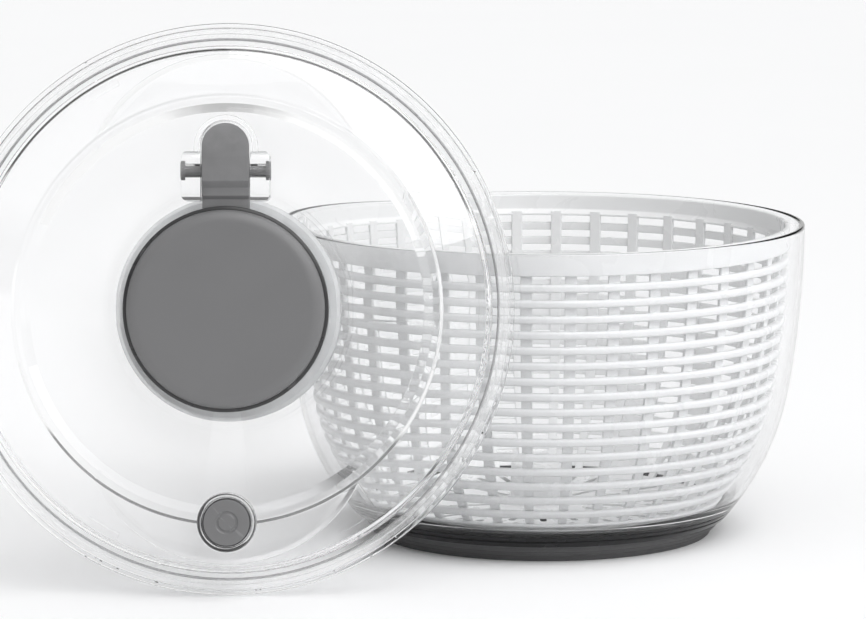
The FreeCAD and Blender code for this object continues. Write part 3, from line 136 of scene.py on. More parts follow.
class BasketSizes(bpy.types.PropertyGroup):
    """Sizes of the slotted basket."""
    gap: length("Gap", "Gap between the bowl's inner wall and the basket", 0.0045)
    band_height: length("Band height", "Height of the solid band", 0.0103)
    band_wall: length("Band wall", "Thickness of the solid band", 0.0022)
    hoops: IntProperty(name="Hoops", description="Number of hoops", default=17, min=2)
    hoop_top: length("Top hoop", "Height of the top hoop's middle", 0.1326)
    hoop_bottom: length("Bottom hoop", "Height of the bottom hoop's middle", 0.0173)
    hoop_height: length("Hoop height", "Height of a hoop", 0.0037)
    hoop_depth: length("Hoop depth", "Depth of a hoop, from its face to the staves' middle", 0.0033)
    hoop_round: length("Hoop round", "Rounding of a hoop's outer corners", 0.0012)
    staves: IntProperty(name="Staves", description="Number of staves", default=36, min=6)
    stave_width: length("Stave width", "Width of a stave at the rim", 0.0058)
    stave_inset: length("Stave inset", "From the hoops' face in to the staves' outer face", 0.0026)
    stave_wall: length("Stave wall", "Thickness of a stave", 0.0019)
    floor_wall: length("Floor", "Thickness of the basket's floor", 0.0022)
    hub: length("Hub", "Outer radius of the hub", 0.015)
    hub_top: length("Hub top", "Height of the hub", 0.033)
    slot_width: length("Slot width", "Width of a drain slot", 0.0032)
    slot_start: length("Slot start", "Radius where the inner slots start", 0.024)
    slot_land: length("Slot land", "Solid land between the rows of slots", 0.004)
    slots: IntProperty(name="Slots", description="Drain slots in the inner row", default=18, min=3)


class LidSizes(bpy.types.PropertyGroup):
    """Sizes of the clear lid, in the lid's own frame."""
    wall: length("Wall", "Thickness of the lid", 0.0024)
    flange: length("Flange", "From the lip in to the step wall", 0.0099)
    step_height: length("Step", "Height of the step wall", 0.0052)
    bevel_width: length("Step bevel", "Width of the bevel above the step wall", 0.0023)
    dome: length("Dome", "Height of the flat middle above the flange", 0.013)
    slope: length("Slope", "Width of the sloping annulus", 0.0195)
    ridge_height: length("Ridge height", "Height of the ridge", 0.0022)
    ridge_bevel: length("Ridge bevel", "Width of the ridge's outer bevel", 0.0015)
    ridge_width: length("Ridge width", "Width of the ridge's flat top", 0.003)
    ridge_slope: length("Ridge slope", "Width of the ridge's inner slope", 0.004)
    lobe_overlap: length("Lobe overlap", "How far each flat lobe reaches past the lid's axis", 0.017)
    lobe_margin: length("Lobe margin", "From the step wall in to a lobe's end", 0.0045)
    lip_wall: length("Lip", "Thickness of the hanging lip", 0.0019)
    lug_width: length("Lug width", "Width of a lug", 0.0085)
    lug_length: length("Lug length", "Length of a lug", 0.0218)
    lug_back: length("Lug back", "Lug's end beyond the pin", 0.0085)
    lug_round: length("Lug round", "Radius of a lug's top", 0.0065)
    guard_gap: length("Guard gap", "Gap between the tail and its guard", 0.0012)
    guard_wall: length("Guard wall", "Thickness of the guard", 0.0024)
    guard_height: length("Guard height", "Height of the guard", 0.0135)
    notch_width: length("Notch width", "Width of the breaks in the lid's rings", 0.0011)
    notch_depth: length("Notch depth", "Depth of the breaks in the lid's rings", 0.0006)
    bead: length("Seal bead", "Width of the bead on the seal's inner edge", 0.0012)
    around: IntProperty(name="Segments", description="Segments round the lid", default=384, min=24)


class LeverSizes(bpy.types.PropertyGroup):
    """Sizes of the press lever, in the lid's own frame."""
    pad_wall: length("Pad wall", "Thickness of the pad", 0.0024)
    edge: length("Edge", "Width of the pad's edge step", 0.0018)
    bevel: length("Bevel", "Width of the pad's rounded bevel", 0.0059)
    bevel_drop: length("Bevel drop", "Fall of the pad's rounded bevel", 0.0031)
    arm_width: length("Arm width", "Width of the arm and its round tail", 0.0208)
    arm_height: length("Arm height", "Height of the arm where it enters the pad", 0.008)
    boss: length("Boss", "Radius of the boss round the pin", 0.0066)
    tail_thickness: length("Tail", "Thickness of the tail's end", 0.0032)
    soften: length("Soften", "Rounding of the arm's edges", 0.0007)


class DriveSizes(bpy.types.PropertyGroup):
    """Sizes of the drive disc and the brake, in the lid's own frame."""
    disc_wall: length("Disc", "Thickness of the drive disc", 0.0022)
    drum_wall: length("Drum", "Wall of the disc's drum", 0.002)
    drum_radius: length("Drum radius", "Outer radius of the drum", 0.0555)
    boss_drop: length("Boss drop", "How far the boss stands below the drum", 0.0026)
    boss_radius: length("Boss radius", "Radius of the disc's boss", 0.010)
    bush_radius: length("Bush radius", "Outer radius of the disc's bush", 0.0065)
    tab_drop: length("Tab", "Length of a drive tab below the disc", 0.010)
    tab_wall: length("Tab wall", "Thickness of a drive tab", 0.0026)
    tab_width: length("Tab width", "Width of a drive tab", 0.016)
    tabs: IntProperty(name="Tabs", description="Number of drive tabs", default=6, min=3)
    button_wall: length("Button wall", "Wall of the brake button", 0.0018)
    dimple: length("Ring", "Radius of the ring on the brake button", 0.0043)
    dimple_width: length("Ring width", "Width of the ring on the brake button", 0.0006)
    collar_barrel: length("Collar barrel", "Outer radius of the collar's barrel, under the lid", 0.0122)
    collar_floor: length("Collar floor", "Thickness of the collar's floor", 0.0015)
    spring_wire: length("Return spring wire", "Wire of the return spring", 0.0009)
    brake_wire: length("Brake spring wire", "Wire of the brake spring", 0.0007)
    spring_turns: IntProperty(name="Return spring turns", description="Turns of the return spring", default=5,
                              min=2)
    brake_turns: IntProperty(name="Brake spring turns", description="Turns of the brake spring", default=4,
                             min=2)


class Finishes(bpy.types.PropertyGroup):
    """Colours of the finishes."""
    clear: colour("Clear", "Clear plastic of the lid", (0.997, 0.998, 1.0))
    bowl: colour("Bowl", "Clear plastic of the bowl", (0.965, 0.967, 0.971))
    frost: colour("Frost", "Lightly frosted plastic of the disc", (0.93, 0.935, 0.94))
    pale: colour("Pale", "Pale plastic of the mechanism housing", (0.80, 0.81, 0.82))
    white: colour("White", "White plastic of the basket", (0.83, 0.835, 0.84))
    grey: colour("Grey", "Grey plastic of the lever, its pin and the button", (0.156, 0.156, 0.159))
    dark: colour("Dark", "Glossy dark plastic of the foot ring", (0.008, 0.008, 0.009))
    grip: colour("Grip", "Matte rubber of the grip foot", (0.085, 0.085, 0.087))
    steel: colour("Steel", "Steel of the screws and the washer", (0.42, 0.42, 0.43))
    acetal: colour("Acetal", "Natural plastic of the inner moving pieces", (0.78, 0.78, 0.75))


class StageSettings(bpy.types.PropertyGroup):
    """Camera and lights."""
    lens: FloatProperty(name="Lens", description="Focal length of the camera, in millimetres", default=177.2)
    pitch: FloatProperty(name="Pitch", description="How far the camera looks down", subtype="ANGLE",
                         default=math.radians(8.17))
    eye: FloatVectorProperty(name="Eye", description="Place of the camera", subtype="TRANSLATION",
                             default=(-0.0522, -2.0215, 0.3966), size=3)
    key: FloatProperty(name="Key", description="Strength of the soft key light", default=1.82)
    strip: FloatProperty(name="Strip", description="Power of the strip light, in watts", default=2.5)
    sky: FloatProperty(name="Sky", description="Strength of the studio's surrounding light", default=0.92)


def settings(group):
    """The scene's settings of one group."""
    return getattr(bpy.context.scene, "spinner_" + group)


# ------------------------------------------------------------------ mesh making

def rounded(outline, steps=5):
    """Closed outline whose corners are rounded by their third value, a radius; two values stay sharp."""
    points = []
    count = len(outline)
    for index, corner in enumerate(outline):
        here = Vector(corner[:2])
        if len(corner) == 2 or corner[2] <= 0:
            points.append(here)
            continue
        before = Vector(outline[index - 1][:2]) - here
        after = Vector(outline[(index + 1) % count][:2]) - here
        half = before.angle(after) / 2
        reach = min(corner[2] / math.tan(half), 0.48 * before.length, 0.48 * after.length)
        radius = reach * math.tan(half)
        centre = here + (before.normalized() + after.normalized()).normalized() * (radius / math.sin(half))
        start = here + before.normalized() * reach - centre
        stop = here + after.normalized() * reach - centre
        turn = start.angle_signed(stop)
        for step in range(steps + 1):
            angle = -turn * step / steps
            points.append(centre + Matrix.Rotation(angle, 2) @ start)
    return points


def new_piece(name, mesh_builder, matrix=UPRIGHT):
    """An object made from a bmesh, placed by a matrix, with its normals turned outwards."""
    bmesh.ops.recalc_face_normals(mesh_builder, faces=mesh_builder.faces)
    mesh = bpy.data.meshes.new(name)
    mesh_builder.to_mesh(mesh)
    mesh_builder.free()
    mesh.transform(matrix)
    piece = bpy.data.objects.new(name, mesh)
    bpy.context.scene.collection.objects.link(piece)
    return piece


def lathe(name, outline, segments, matrix=UPRIGHT):
    """Closed (radius, height) outline turned about Z; points on the axis become poles."""
    build = bmesh.new()
    rings = []
    for radius, height in outline:
        if radius < 1e-7:
            rings.append([build.verts.new((0, 0, height))])
            continue
        angles = [2 * math.pi * index / segments for index in range(segments)]
        rings.append([build.verts.new((radius * math.cos(a), radius * math.sin(a), height)) for a in angles])
    for index, ring in enumerate(rings):
        following = rings[(index + 1) % len(rings)]
        if len(ring) == 1 and len(following) == 1:
            continue
        for step in range(segments):
            ahead = (step + 1) % segments
            corners = [ring[step % len(ring)], ring[ahead % len(ring)],
                       following[ahead % len(following)], following[step % len(following)]]
            build.faces.new(list(dict.fromkeys(corners)))
    return new_piece(name, build, matrix)


def prism(name, outline, low, high, soften=0.0, matrix=UPRIGHT):
    """Straight prism over a closed outline, with all its edges softened."""
    build = bmesh.new()
    base = build.faces.new([build.verts.new((x, y, low)) for x, y in outline])
    top = bmesh.ops.extrude_face_region(build, geom=[base])["geom"]
    lifted = [item for item in top if isinstance(item, bmesh.types.BMVert)]
    bmesh.ops.translate(build, verts=lifted, vec=(0, 0, high - low))
    if soften:
        bmesh.ops.recalc_face_normals(build, faces=build.faces)
        sharp = [edge for edge in build.edges if edge.calc_face_angle(0) > math.radians(40)]
        bmesh.ops.bevel(build, geom=sharp, offset=soften, segments=3, profile=0.5, affect="EDGES",
                        clamp_overlap=True)
    return new_piece(name, build, matrix)


def coil(name, radius, wire, turns, low, high, matrix, steps=40, sides=12):
    """Round wire wound from one height to another, with a flat half turn at each end."""
    build = bmesh.new()
    rings = []
    count = turns * steps
    for step in range(count + 1):
        share_up = min(max((step / count * turns - 0.5) / (turns - 1), 0), 1)
        angle = 2 * math.pi * step / steps
        middle = low + wire / 2 + (high - low - wire) * share_up
        ring = []
        for side in range(sides):
            around = 2 * math.pi * side / sides
            reach = radius + wire / 2 * math.cos(around)
            ring.append(build.verts.new((reach * math.cos(angle), reach * math.sin(angle),
                                         middle + wire / 2 * math.sin(around))))
        rings.append(ring)
    for ring, following in zip(rings, rings[1:]):
        for side in range(sides):
            ahead = (side + 1) % sides
            build.faces.new((ring[side], ring[ahead], following[ahead], following[side]))
    build.faces.new(rings[0])
    build.faces.new(rings[-1])
    return new_piece(name, build, matrix)


def make_spring(node, wire, turns, centre):
    """A spring that stretches between the lid and a moving body, in place of its CAD node."""
    low, high = lid_box(node)
    spring = coil(node + "_coil", high.x - centre.x - wire / 2, wire, turns, low.z, high.z,
                  LID @ Matrix.Translation(centre))
    smooth(spring, 60)
    spring.data.materials.append(spring_steel())
    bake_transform(spring)
    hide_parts(node)


ALONG_X = Matrix(((0, 0, 1, 0), (1, 0, 0, 0), (0, 1, 0, 0), (0, 0, 0, 1)))


def side_prism(name, outline, near, far, soften=0.0, matrix=UPRIGHT):
    """Prism along X over an outline of (y, z) points."""
    return prism(name, outline, near, far, soften, matrix @ ALONG_X)


def round_bar(name, radius, near, far, centre, matrix, segments=64):
    """Round bar along X, centred on (y, z)."""
    outline = [(centre[0] + radius * math.cos(2 * math.pi * i / segments),
                centre[1] + radius * math.sin(2 * math.pi * i / segments)) for i in range(segments)]
    return side_prism(name, outline, near, far, 0.0, matrix)


def bake_modifier(piece, kind, **values):
    """Add a modifier, apply it and keep the result as the piece's mesh."""
    modifier = piece.modifiers.new(kind, kind)
    for key, value in values.items():
        setattr(modifier, key, value)
    graph = bpy.context.evaluated_depsgraph_get()
    result = bpy.data.meshes.new_from_object(piece.evaluated_get(graph))
    piece.modifiers.clear()
    piece.data = result


def combine(piece, tool, operation):
    """Join or cut a piece with a tool, which is then thrown away."""
    bpy.context.view_layer.update()
    bake_modifier(piece, "BOOLEAN", operation=operation, object=tool, solver="EXACT")
    bpy.data.objects.remove(tool)


def joined(name, pieces):
    """Several pieces as one object."""
    build = bmesh.new()
    for piece in pieces:
        build.from_mesh(piece.data)
        bpy.data.objects.remove(piece)
    mesh = bpy.data.meshes.new(name)
    build.to_mesh(mesh)
    build.free()
    result = bpy.data.objects.new(name, mesh)
    bpy.context.scene.collection.objects.link(result)
    return result


def smooth(piece, angle=32):
    """Smooth shading with the edges sharper than an angle, in degrees, kept crisp."""
    piece.data.shade_smooth()
    piece.data.set_sharp_from_angle(angle=math.radians(angle))


def dress(piece, node, body, material):
    """Give a piece its material and body, and let it stand for a CAD node."""
    piece.data.materials.clear()
    piece.data.materials.append(material)
    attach(piece, body)
    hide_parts(node)


def paint(node, material):
    """Give a CAD node its finish."""
    item = frame["nodes"][node]
    for slot in item.material_slots:
        slot.material = material


# ------------------------------------------------------------------ finishes

def new_group(name, inputs, outputs):
    """An empty shader group with named inputs and outputs: (name, type, default)."""
    group = bpy.data.node_groups.new(name, "ShaderNodeTree")
    for label, kind, default in inputs:
        socket = group.interface.new_socket(label, in_out="INPUT", socket_type=kind)
        socket.default_value = default
    for label, kind in outputs:
        group.interface.new_socket(label, in_out="OUTPUT", socket_type=kind)
    entry = group.nodes.new("NodeGroupInput")
    leave = group.nodes.new("NodeGroupOutput")
    return group, entry, leave


def add_node(tree, kind, links=(), **values):
    """Add a node, set its named inputs or properties, and link (from socket, to input name) pairs."""
    item = tree.nodes.new(kind)
    for key, value in values.items():
        if key in item.inputs.keys():
            item.inputs[key].default_value = value
        else:
            setattr(item, key, value)
    for source, target in links:
        tree.links.new(source, item.inputs[target])
    return item


def handling_group():
    """Faint smears left by hands and washing: a roughness that drifts between two values."""
    group, entry, leave = new_group(
        "handling marks",
        [("Scale", "NodeSocketFloat", 20.0), ("Clean", "NodeSocketFloat", 0.1),
         ("Smeared", "NodeSocketFloat", 0.2)],
        [("Roughness", "NodeSocketFloat")])
    place = add_node(group, "ShaderNodeTexCoord")
    broad = add_node(group, "ShaderNodeTexNoise", [(place.outputs["Object"], "Vector"),
                                                   (entry.outputs["Scale"], "Scale")],
                     Detail=5.0, Roughness=0.62, Distortion=1.2)
    sharpen = add_node(group, "ShaderNodeMapRange", [(broad.outputs["Fac"], "Value")])
    sharpen.inputs["From Min"].default_value = 0.38
    sharpen.inputs["From Max"].default_value = 0.68
    blend = add_node(group, "ShaderNodeMapRange", [(sharpen.outputs["Result"], "Value"),
                                                   (entry.outputs["Clean"], "To Min"),
                                                   (entry.outputs["Smeared"], "To Max")])
    group.links.new(blend.outputs["Result"], leave.inputs["Roughness"])
    return group


def grain_group():
    """Fine moulded grain: a height that mixes pits and soft waves."""
    group, entry, leave = new_group(
        "moulded grain",
        [("Scale", "NodeSocketFloat", 900.0), ("Waviness", "NodeSocketFloat", 0.3)],
        [("Height", "NodeSocketFloat")])
    place = add_node(group, "ShaderNodeTexCoord")
    pits = add_node(group, "ShaderNodeTexNoise", [(place.outputs["Object"], "Vector"),
                                                  (entry.outputs["Scale"], "Scale")],
                    Detail=3.0, Roughness=0.7)
    waves = add_node(group, "ShaderNodeTexNoise", [(place.outputs["Object"], "Vector")],
                     Scale=55.0, Detail=2.0, Roughness=0.5)
    total = add_node(group, "ShaderNodeMath", [(waves.outputs["Fac"], 0), (entry.outputs["Waviness"], 1),
                                               (pits.outputs["Fac"], 2)], operation="MULTIPLY_ADD")
    group.links.new(total.outputs["Value"], leave.inputs["Height"])
    return group


def edge_wear_and_highlight_group():
    """Convex edges turned lighter from the surface's own curvature, in patches: partly rubbed wear, partly a
    painted edge highlight; hollows keep the base colour.
    """
    group, entry, leave = new_group(
        "rubbed edges and painted highlight",
        [("Colour", "NodeSocketColor", (0.5, 0.5, 0.5, 1)), ("Edge", "NodeSocketColor", (0.7, 0.7, 0.7, 1)),
         ("Amount", "NodeSocketFloat", 0.4)],
        [("Colour", "NodeSocketColor")])
    shape = add_node(group, "ShaderNodeNewGeometry")
    place = add_node(group, "ShaderNodeTexCoord")
    patchy = add_node(group, "ShaderNodeTexNoise", [(place.outputs["Object"], "Vector")],
                      Scale=160.0, Detail=4.0, Roughness=0.6)
    # Convex edges found from pointiness take the lighter edge colour: partly wear, partly a painted
    # highlight.
    raised = add_node(group, "ShaderNodeMapRange", [(shape.outputs["Pointiness"], "Value")])
    raised.inputs["From Min"].default_value = 0.505
    raised.inputs["From Max"].default_value = 0.56
    lit_and_worn_edges = add_node(group, "ShaderNodeMath", [(raised.outputs["Result"], 0), (patchy.outputs["Fac"], 1)],
                    operation="MULTIPLY")
    mask = add_node(group, "ShaderNodeMath", [(lit_and_worn_edges.outputs["Value"], 0), (entry.outputs["Amount"], 1)],
                    operation="MULTIPLY", use_clamp=True)
    mix = add_node(group, "ShaderNodeMix", data_type="RGBA")
    group.links.new(mask.outputs["Value"], mix.inputs["Factor"])
    group.links.new(entry.outputs["Colour"], mix.inputs[6])
    group.links.new(entry.outputs["Edge"], mix.inputs[7])
    group.links.new(mix.outputs[2], leave.inputs["Colour"])
    return group


def tint_group():
    """Slow drift of a colour between itself and a shade of it, as in a moulded part."""
    group, entry, leave = new_group(
        "melt tint",
        [("Colour", "NodeSocketColor", (0.8, 0.8, 0.8, 1)), ("Shade", "NodeSocketFloat", 0.94),
         ("Scale", "NodeSocketFloat", 9.0)],
        [("Colour", "NodeSocketColor")])
    place = add_node(group, "ShaderNodeTexCoord")
    drift = add_node(group, "ShaderNodeTexNoise", [(place.outputs["Object"], "Vector"),
                                                   (entry.outputs["Scale"], "Scale")],
                     Detail=3.0, Roughness=0.5, Distortion=0.6)
    level = add_node(group, "ShaderNodeMapRange", [(drift.outputs["Fac"], "Value"),
                                                   (entry.outputs["Shade"], "To Min")])
    level.inputs["From Min"].default_value = 0.3
    level.inputs["From Max"].default_value = 0.7
    scaled = add_node(group, "ShaderNodeVectorMath", [(entry.outputs["Colour"], 0),
                                                      (level.outputs["Result"], 1)], operation="MULTIPLY")
    group.links.new(scaled.outputs["Vector"], leave.inputs["Colour"])
    return group


GROUP_MAKERS = {"handling marks": handling_group, "moulded grain": grain_group,
                "rubbed edges and painted highlight": edge_wear_and_highlight_group, "melt tint": tint_group}


def effect(tree, name, **values):
    """Place a shared effect in a material with its own values."""
    group = bpy.data.node_groups.get(name) or GROUP_MAKERS[name]()
    item = tree.nodes.new("ShaderNodeGroup")
    item.node_tree = group
    for key, value in values.items():
        item.inputs[key].default_value = value
    return item


def blank_material(name):
    """A material with only its output and a Principled shader."""
    material = bpy.data.materials.new(name)
    material.use_nodes = True
    tree = material.node_tree
    shader = next(node for node in tree.nodes if node.type == "BSDF_PRINCIPLED")
    output = next(node for node in tree.nodes if node.type == "OUTPUT_MATERIAL")
    return material, tree, shader, output


def opaque(name, base, clean, smeared, shade=0.95, edge=None, edge_wear_and_highlight_amount=0.0, grain=0.0, grain_scale=900.0,
           smear_scale=22.0, **shader_values):
    """Solid moulded plastic, rubber or metal with tint drift, smears, grain and edges lighter from wear and
    painted highlight.
    """
    found = bpy.data.materials.get(name)
    if found:
        return found
    material, tree, shader, _ = blank_material(name)
    tint = effect(tree, "melt tint", Colour=(*base, 1), Shade=shade)
    last = tint.outputs["Colour"]
    # Lighter edge colour on convex edges: partly wear, partly a painted highlight.
    if edge:
        edge_wear_and_highlight = effect(tree, "rubbed edges and painted highlight", Edge=(*edge, 1), Amount=edge_wear_and_highlight_amount)
        tree.links.new(last, edge_wear_and_highlight.inputs["Colour"])
        last = edge_wear_and_highlight.outputs["Colour"]
    tree.links.new(last, shader.inputs["Base Color"])
    smear = effect(tree, "handling marks", Scale=smear_scale, Clean=clean, Smeared=smeared)
    tree.links.new(smear.outputs["Roughness"], shader.inputs["Roughness"])
    if grain:
        height = effect(tree, "moulded grain", Scale=grain_scale)
        bump = add_node(tree, "ShaderNodeBump", [(height.outputs["Height"], "Height")], Strength=grain,
                        Distance=0.0002)
        tree.links.new(bump.outputs["Normal"], shader.inputs["Normal"])
    for key, value in shader_values.items():
        shader.inputs[key.replace("_", " ")].default_value = value
    return material


def clear(name, base):
    """Clear plastic that refracts what is behind it and lets the lamps' light through."""
    found = bpy.data.materials.get(name)
    if found:
        return found
    material, tree, shader, output = blank_material(name)
    shader.inputs["Base Color"].default_value = (*base, 1)
    shader.inputs["Transmission Weight"].default_value = 1.0
    shader.inputs["IOR"].default_value = 1.47
    smear = effect(tree, "handling marks", Scale=14.0, Clean=0.0, Smeared=0.02)
    tree.links.new(smear.outputs["Roughness"], shader.inputs["Roughness"])
    path = add_node(tree, "ShaderNodeLightPath")
    through = add_node(tree, "ShaderNodeBsdfTransparent", Color=(*base, 1))
    mix = add_node(tree, "ShaderNodeMixShader", [(path.outputs["Is Shadow Ray"], 0),
                                                 (shader.outputs["BSDF"], 1), (through.outputs["BSDF"], 2)])
    tree.links.new(mix.outputs["Shader"], output.inputs["Surface"])
    return material


def clear_plastic():
    """Polished clear plastic of the lid."""
    return clear("clear polished plastic", settings("finishes").clear)


def bowl_plastic():
    """Clear plastic of the bowl, a little greyer for its thickness."""
    return clear("clear bowl plastic", settings("finishes").bowl)


def frosted_plastic():
    """Thin translucent plastic of the drive disc, which tints what is behind it without bending it."""
    return opaque("thin translucent plastic", settings("finishes").frost, 0.3, 0.42, shade=0.97, Alpha=0.09)


def clear_silicone():
    """Soft translucent seal."""
    return opaque("translucent silicone", settings("finishes").frost, 0.4, 0.55, shade=0.97, Alpha=0.2)


def grey_silicone():
    """Grey bead of the seal."""
    return opaque("grey translucent silicone", (0.3, 0.3, 0.305), 0.4, 0.55, shade=0.95, Alpha=0.6)


def white_plastic():
    """Satin white plastic of the basket."""
    return opaque("satin white plastic", settings("finishes").white, 0.24, 0.36, shade=0.975, grain=0.03)


def pale_plastic():
    """Translucent pale plastic of the housing."""
    return opaque("pale housing plastic", settings("finishes").pale, 0.35, 0.5, shade=0.97, grain=0.08,
                  Alpha=0.4)


def grey_plastic():
    """Satin grey plastic of the lever, its pin, the plunger and the brake button."""
    return opaque("satin grey plastic", settings("finishes").grey, 0.34, 0.46, shade=0.96,
                  edge=(0.34, 0.34, 0.345), edge_wear_and_highlight_amount=0.5, grain=0.10, grain_scale=1400.0)


def shade_and_trim_dark_plastic():
    """Dark copy of the grey plastic: painted shade on the side walls of the pad and the button, and the trim
    under the collar.
    """
    return opaque("dark satin plastic for painted shade and trim", (0.022, 0.022, 0.023), 0.22, 0.34, shade=0.94,
                  edge=(0.16, 0.16, 0.165), edge_wear_and_highlight_amount=0.6, grain=0.06, grain_scale=1400.0)


def dark_gloss():
    """Polished near-black plastic of the foot ring."""
    return opaque("polished dark plastic", settings("finishes").dark, 0.06, 0.14, shade=0.9,
                  edge=(0.05, 0.05, 0.053), edge_wear_and_highlight_amount=0.5, Specular_IOR_Level=0.3)


def grip_rubber():
    """Matte rubber of the foot."""
    return opaque("matte grip rubber", settings("finishes").grip, 0.55, 0.72, shade=0.88,
                  edge=(0.12, 0.12, 0.12), edge_wear_and_highlight_amount=0.5, grain=0.35, grain_scale=700.0)


def brake_rubber():
    """Black rubber of the brake shoe."""
    return opaque("black brake rubber", (0.02, 0.02, 0.02), 0.6, 0.75, shade=0.85, grain=0.4)


def steel():
    """Plain steel of the screws and the washer."""
    return opaque("plain steel", settings("finishes").steel, 0.22, 0.38, shade=0.9, grain=0.12,
                  grain_scale=500.0, Metallic=1.0)


def spring_steel():
    """Drawn spring wire."""
    return opaque("drawn spring wire", (0.3, 0.3, 0.31), 0.28, 0.42, shade=0.85, grain=0.2,
                  grain_scale=1500.0, Metallic=1.0)


def acetal():
    """Natural plastic of the inner moving pieces."""
    return opaque("natural acetal", settings("finishes").acetal, 0.3, 0.42, shade=0.94, grain=0.06,
                  Specular_IOR_Level=0.45)


# ------------------------------------------------------------------ bowl and basket shapes

class Wall:
    """The bowl's outer wall, two tangent arcs, and the same wall moved inwards along its normal."""

    def __init__(self):
        sizes = settings("bowl")
        corner = own_box("outer_bowl")[1]
        self.rim, self.height = corner.x, corner.z
        self.upper = Vector((self.rim - sizes.upper_arc, self.height))
        rise = self.height - sizes.arc_joint
        joint = Vector((self.upper.x + math.sqrt(sizes.upper_arc ** 2 - rise ** 2), sizes.arc_joint))
        self.lower = joint.lerp(self.upper, sizes.lower_arc / sizes.upper_arc)
        self.upper_arc, self.lower_arc, self.rise = sizes.upper_arc, sizes.lower_arc, rise

    def radius(self, height, inset=0.0):
        """Radius of the wall at a height."""
        joint = self.height - self.rise * (self.upper_arc - inset) / self.upper_arc
        centre, arc = (self.upper, self.upper_arc) if height >= joint else (self.lower, self.lower_arc)
        return centre.x + math.sqrt((arc - inset) ** 2 - (height - centre.y) ** 2)

    def points(self, low, high, inset=0.0, count=40):
        """Points along the wall between two heights, in the order asked."""
        heights = [low + (high - low) * index / count for index in range(count + 1)]
        return [(self.radius(height, inset), height) for height in heights]


def bowl_outline():
    """Cross-section of the bowl."""
    sizes, wall = settings("bowl"), Wall()
    low = own_box("outer_bowl")[0].z
    ring_top = own_box("base_ring")[1].z
    foot, inner = sizes.ring_skin, sizes.ring_skin + sizes.wall
    floor = low + sizes.wall
    core = sizes.spigot - sizes.wall
    outline = [(core, low), (wall.radius(low, foot), low, 0.0008), (wall.radius(ring_top, foot), ring_top)]
    outline += wall.points(ring_top, wall.height - sizes.rim_round * 1.5)
    outline += [(wall.rim, wall.height, sizes.rim_round),
                (wall.rim - sizes.wall, wall.height, sizes.rim_round)]
    outline += wall.points(wall.height - sizes.rim_round * 1.5, ring_top + 2 * sizes.wall, sizes.wall)
    outline += [(wall.radius(ring_top, inner), ring_top, 0.004),
                (wall.radius(floor, inner), floor, 0.003), (sizes.spigot, floor, 0.0015),
                (sizes.spigot, sizes.spigot_top, 0.0012), (0, sizes.spigot_top),
                (0, sizes.spigot_top - sizes.wall), (core, sizes.spigot_top - sizes.wall, 0.001)]
    return rounded(outline)


def hoop_outline(wall, middle, sizes, inset):
    """Cross-section of one hoop, leaning with the wall."""
    half = sizes.hoop_height / 2
    inner = inset + sizes.hoop_depth
    corners = []
    for height, depth, radius in ((middle - half, inner, 0.0003), (middle - half, inset, sizes.hoop_round),
                                  (middle + half, inset, sizes.hoop_round), (middle + half, inner, 0.0003)):
        corners.append((wall.radius(height, depth), height, radius))
    return rounded(corners)


def make_staves(wall, sizes, inset, low, high):
    """Upright staves with rounded edges, following the wall."""
    build = bmesh.new()
    outer, inner = inset + sizes.stave_inset, inset + sizes.stave_inset + sizes.stave_wall
    section = rounded([(-0.5, 0, 0.12), (0.5, 0, 0.12), (0.5, 1, 0.12), (-0.5, 1, 0.12)], 3)
    steps = 28
    for stave in range(sizes.staves):
        middle = 2 * math.pi * (stave + 0.5) / sizes.staves
        rings = []
        for step in range(steps + 1):
            height = low + (high - low) * step / steps
            ring = []
            for across, deep in section:
                radius = wall.radius(height, outer + (inner - outer) * deep)
                angle = middle + across * sizes.stave_width / wall.rim
                ring.append(build.verts.new((radius * math.cos(angle), radius * math.sin(angle), height)))
            rings.append(ring)
        for ring, following in zip(rings, rings[1:]):
            for index in range(len(ring)):
                ahead = (index + 1) % len(ring)
                build.faces.new((ring[index], ring[ahead], following[ahead], following[index]))
        build.faces.new(rings[0])
        build.faces.new(rings[-1])
    return new_piece("staves", build)


def basket_floor(wall, sizes, inset, low):
    """Floor with two rows of drain slots, its upturned edge and the hub."""
    top = low + sizes.floor_wall
    inner = inset + sizes.stave_inset + sizes.stave_wall
    socket = own_box("pivot_bearing")[1].x + 0.00005
    roof = own_box("pivot_bearing")[1].z + 0.0003
    edge = wall.radius(top, inner) - 0.002
    outline = [(socket, low, 0.0004), (wall.radius(low, inset), low, 0.001),
               (wall.radius(top + 0.001, inset), top + 0.001, 0.0008),
               (wall.radius(top + 0.002, inner), top + 0.002, 0.0005), (edge, top, 0.001),
               (sizes.hub, top, 0.002), (sizes.hub - 0.0005, sizes.hub_top, 0.002), (0, sizes.hub_top),
               (0, roof), (socket, roof, 0.0004)]
    plate = lathe("basket_floor", rounded(outline), 180)
    row = (edge - sizes.slot_land - sizes.slot_start - sizes.slot_land) / 2
    half = sizes.slot_width / 2
    tools = []
    for start, count in ((sizes.slot_start, sizes.slots),
                         (sizes.slot_start + row + sizes.slot_land, 2 * sizes.slots)):
        stop = start + row
        outline = rounded([(start, -half, half), (stop, -half, half), (stop, half, half),
                           (start, half, half)], 5)
        for index in range(count):
            turn = Matrix.Rotation(2 * math.pi * (index + 0.5) / count, 4, "Z")
            tools.append(prism("slot", outline, low - 0.001, top + 0.004, 0.0, turn))
    combine(plate, joined("slots", tools), "DIFFERENCE")
    return plate


class SPINNER_OT_bowl(bpy.types.Operator):
    """Build the clear outer bowl"""
    bl_idname = "spinner.bowl"
    bl_label = "Bowl"

    def execute(self, context):
        piece = lathe("bowl_shell", bowl_outline(), settings("bowl").around)
        smooth(piece)
        dress(piece, "outer_bowl", "bowl", bowl_plastic())
        return {"FINISHED"}


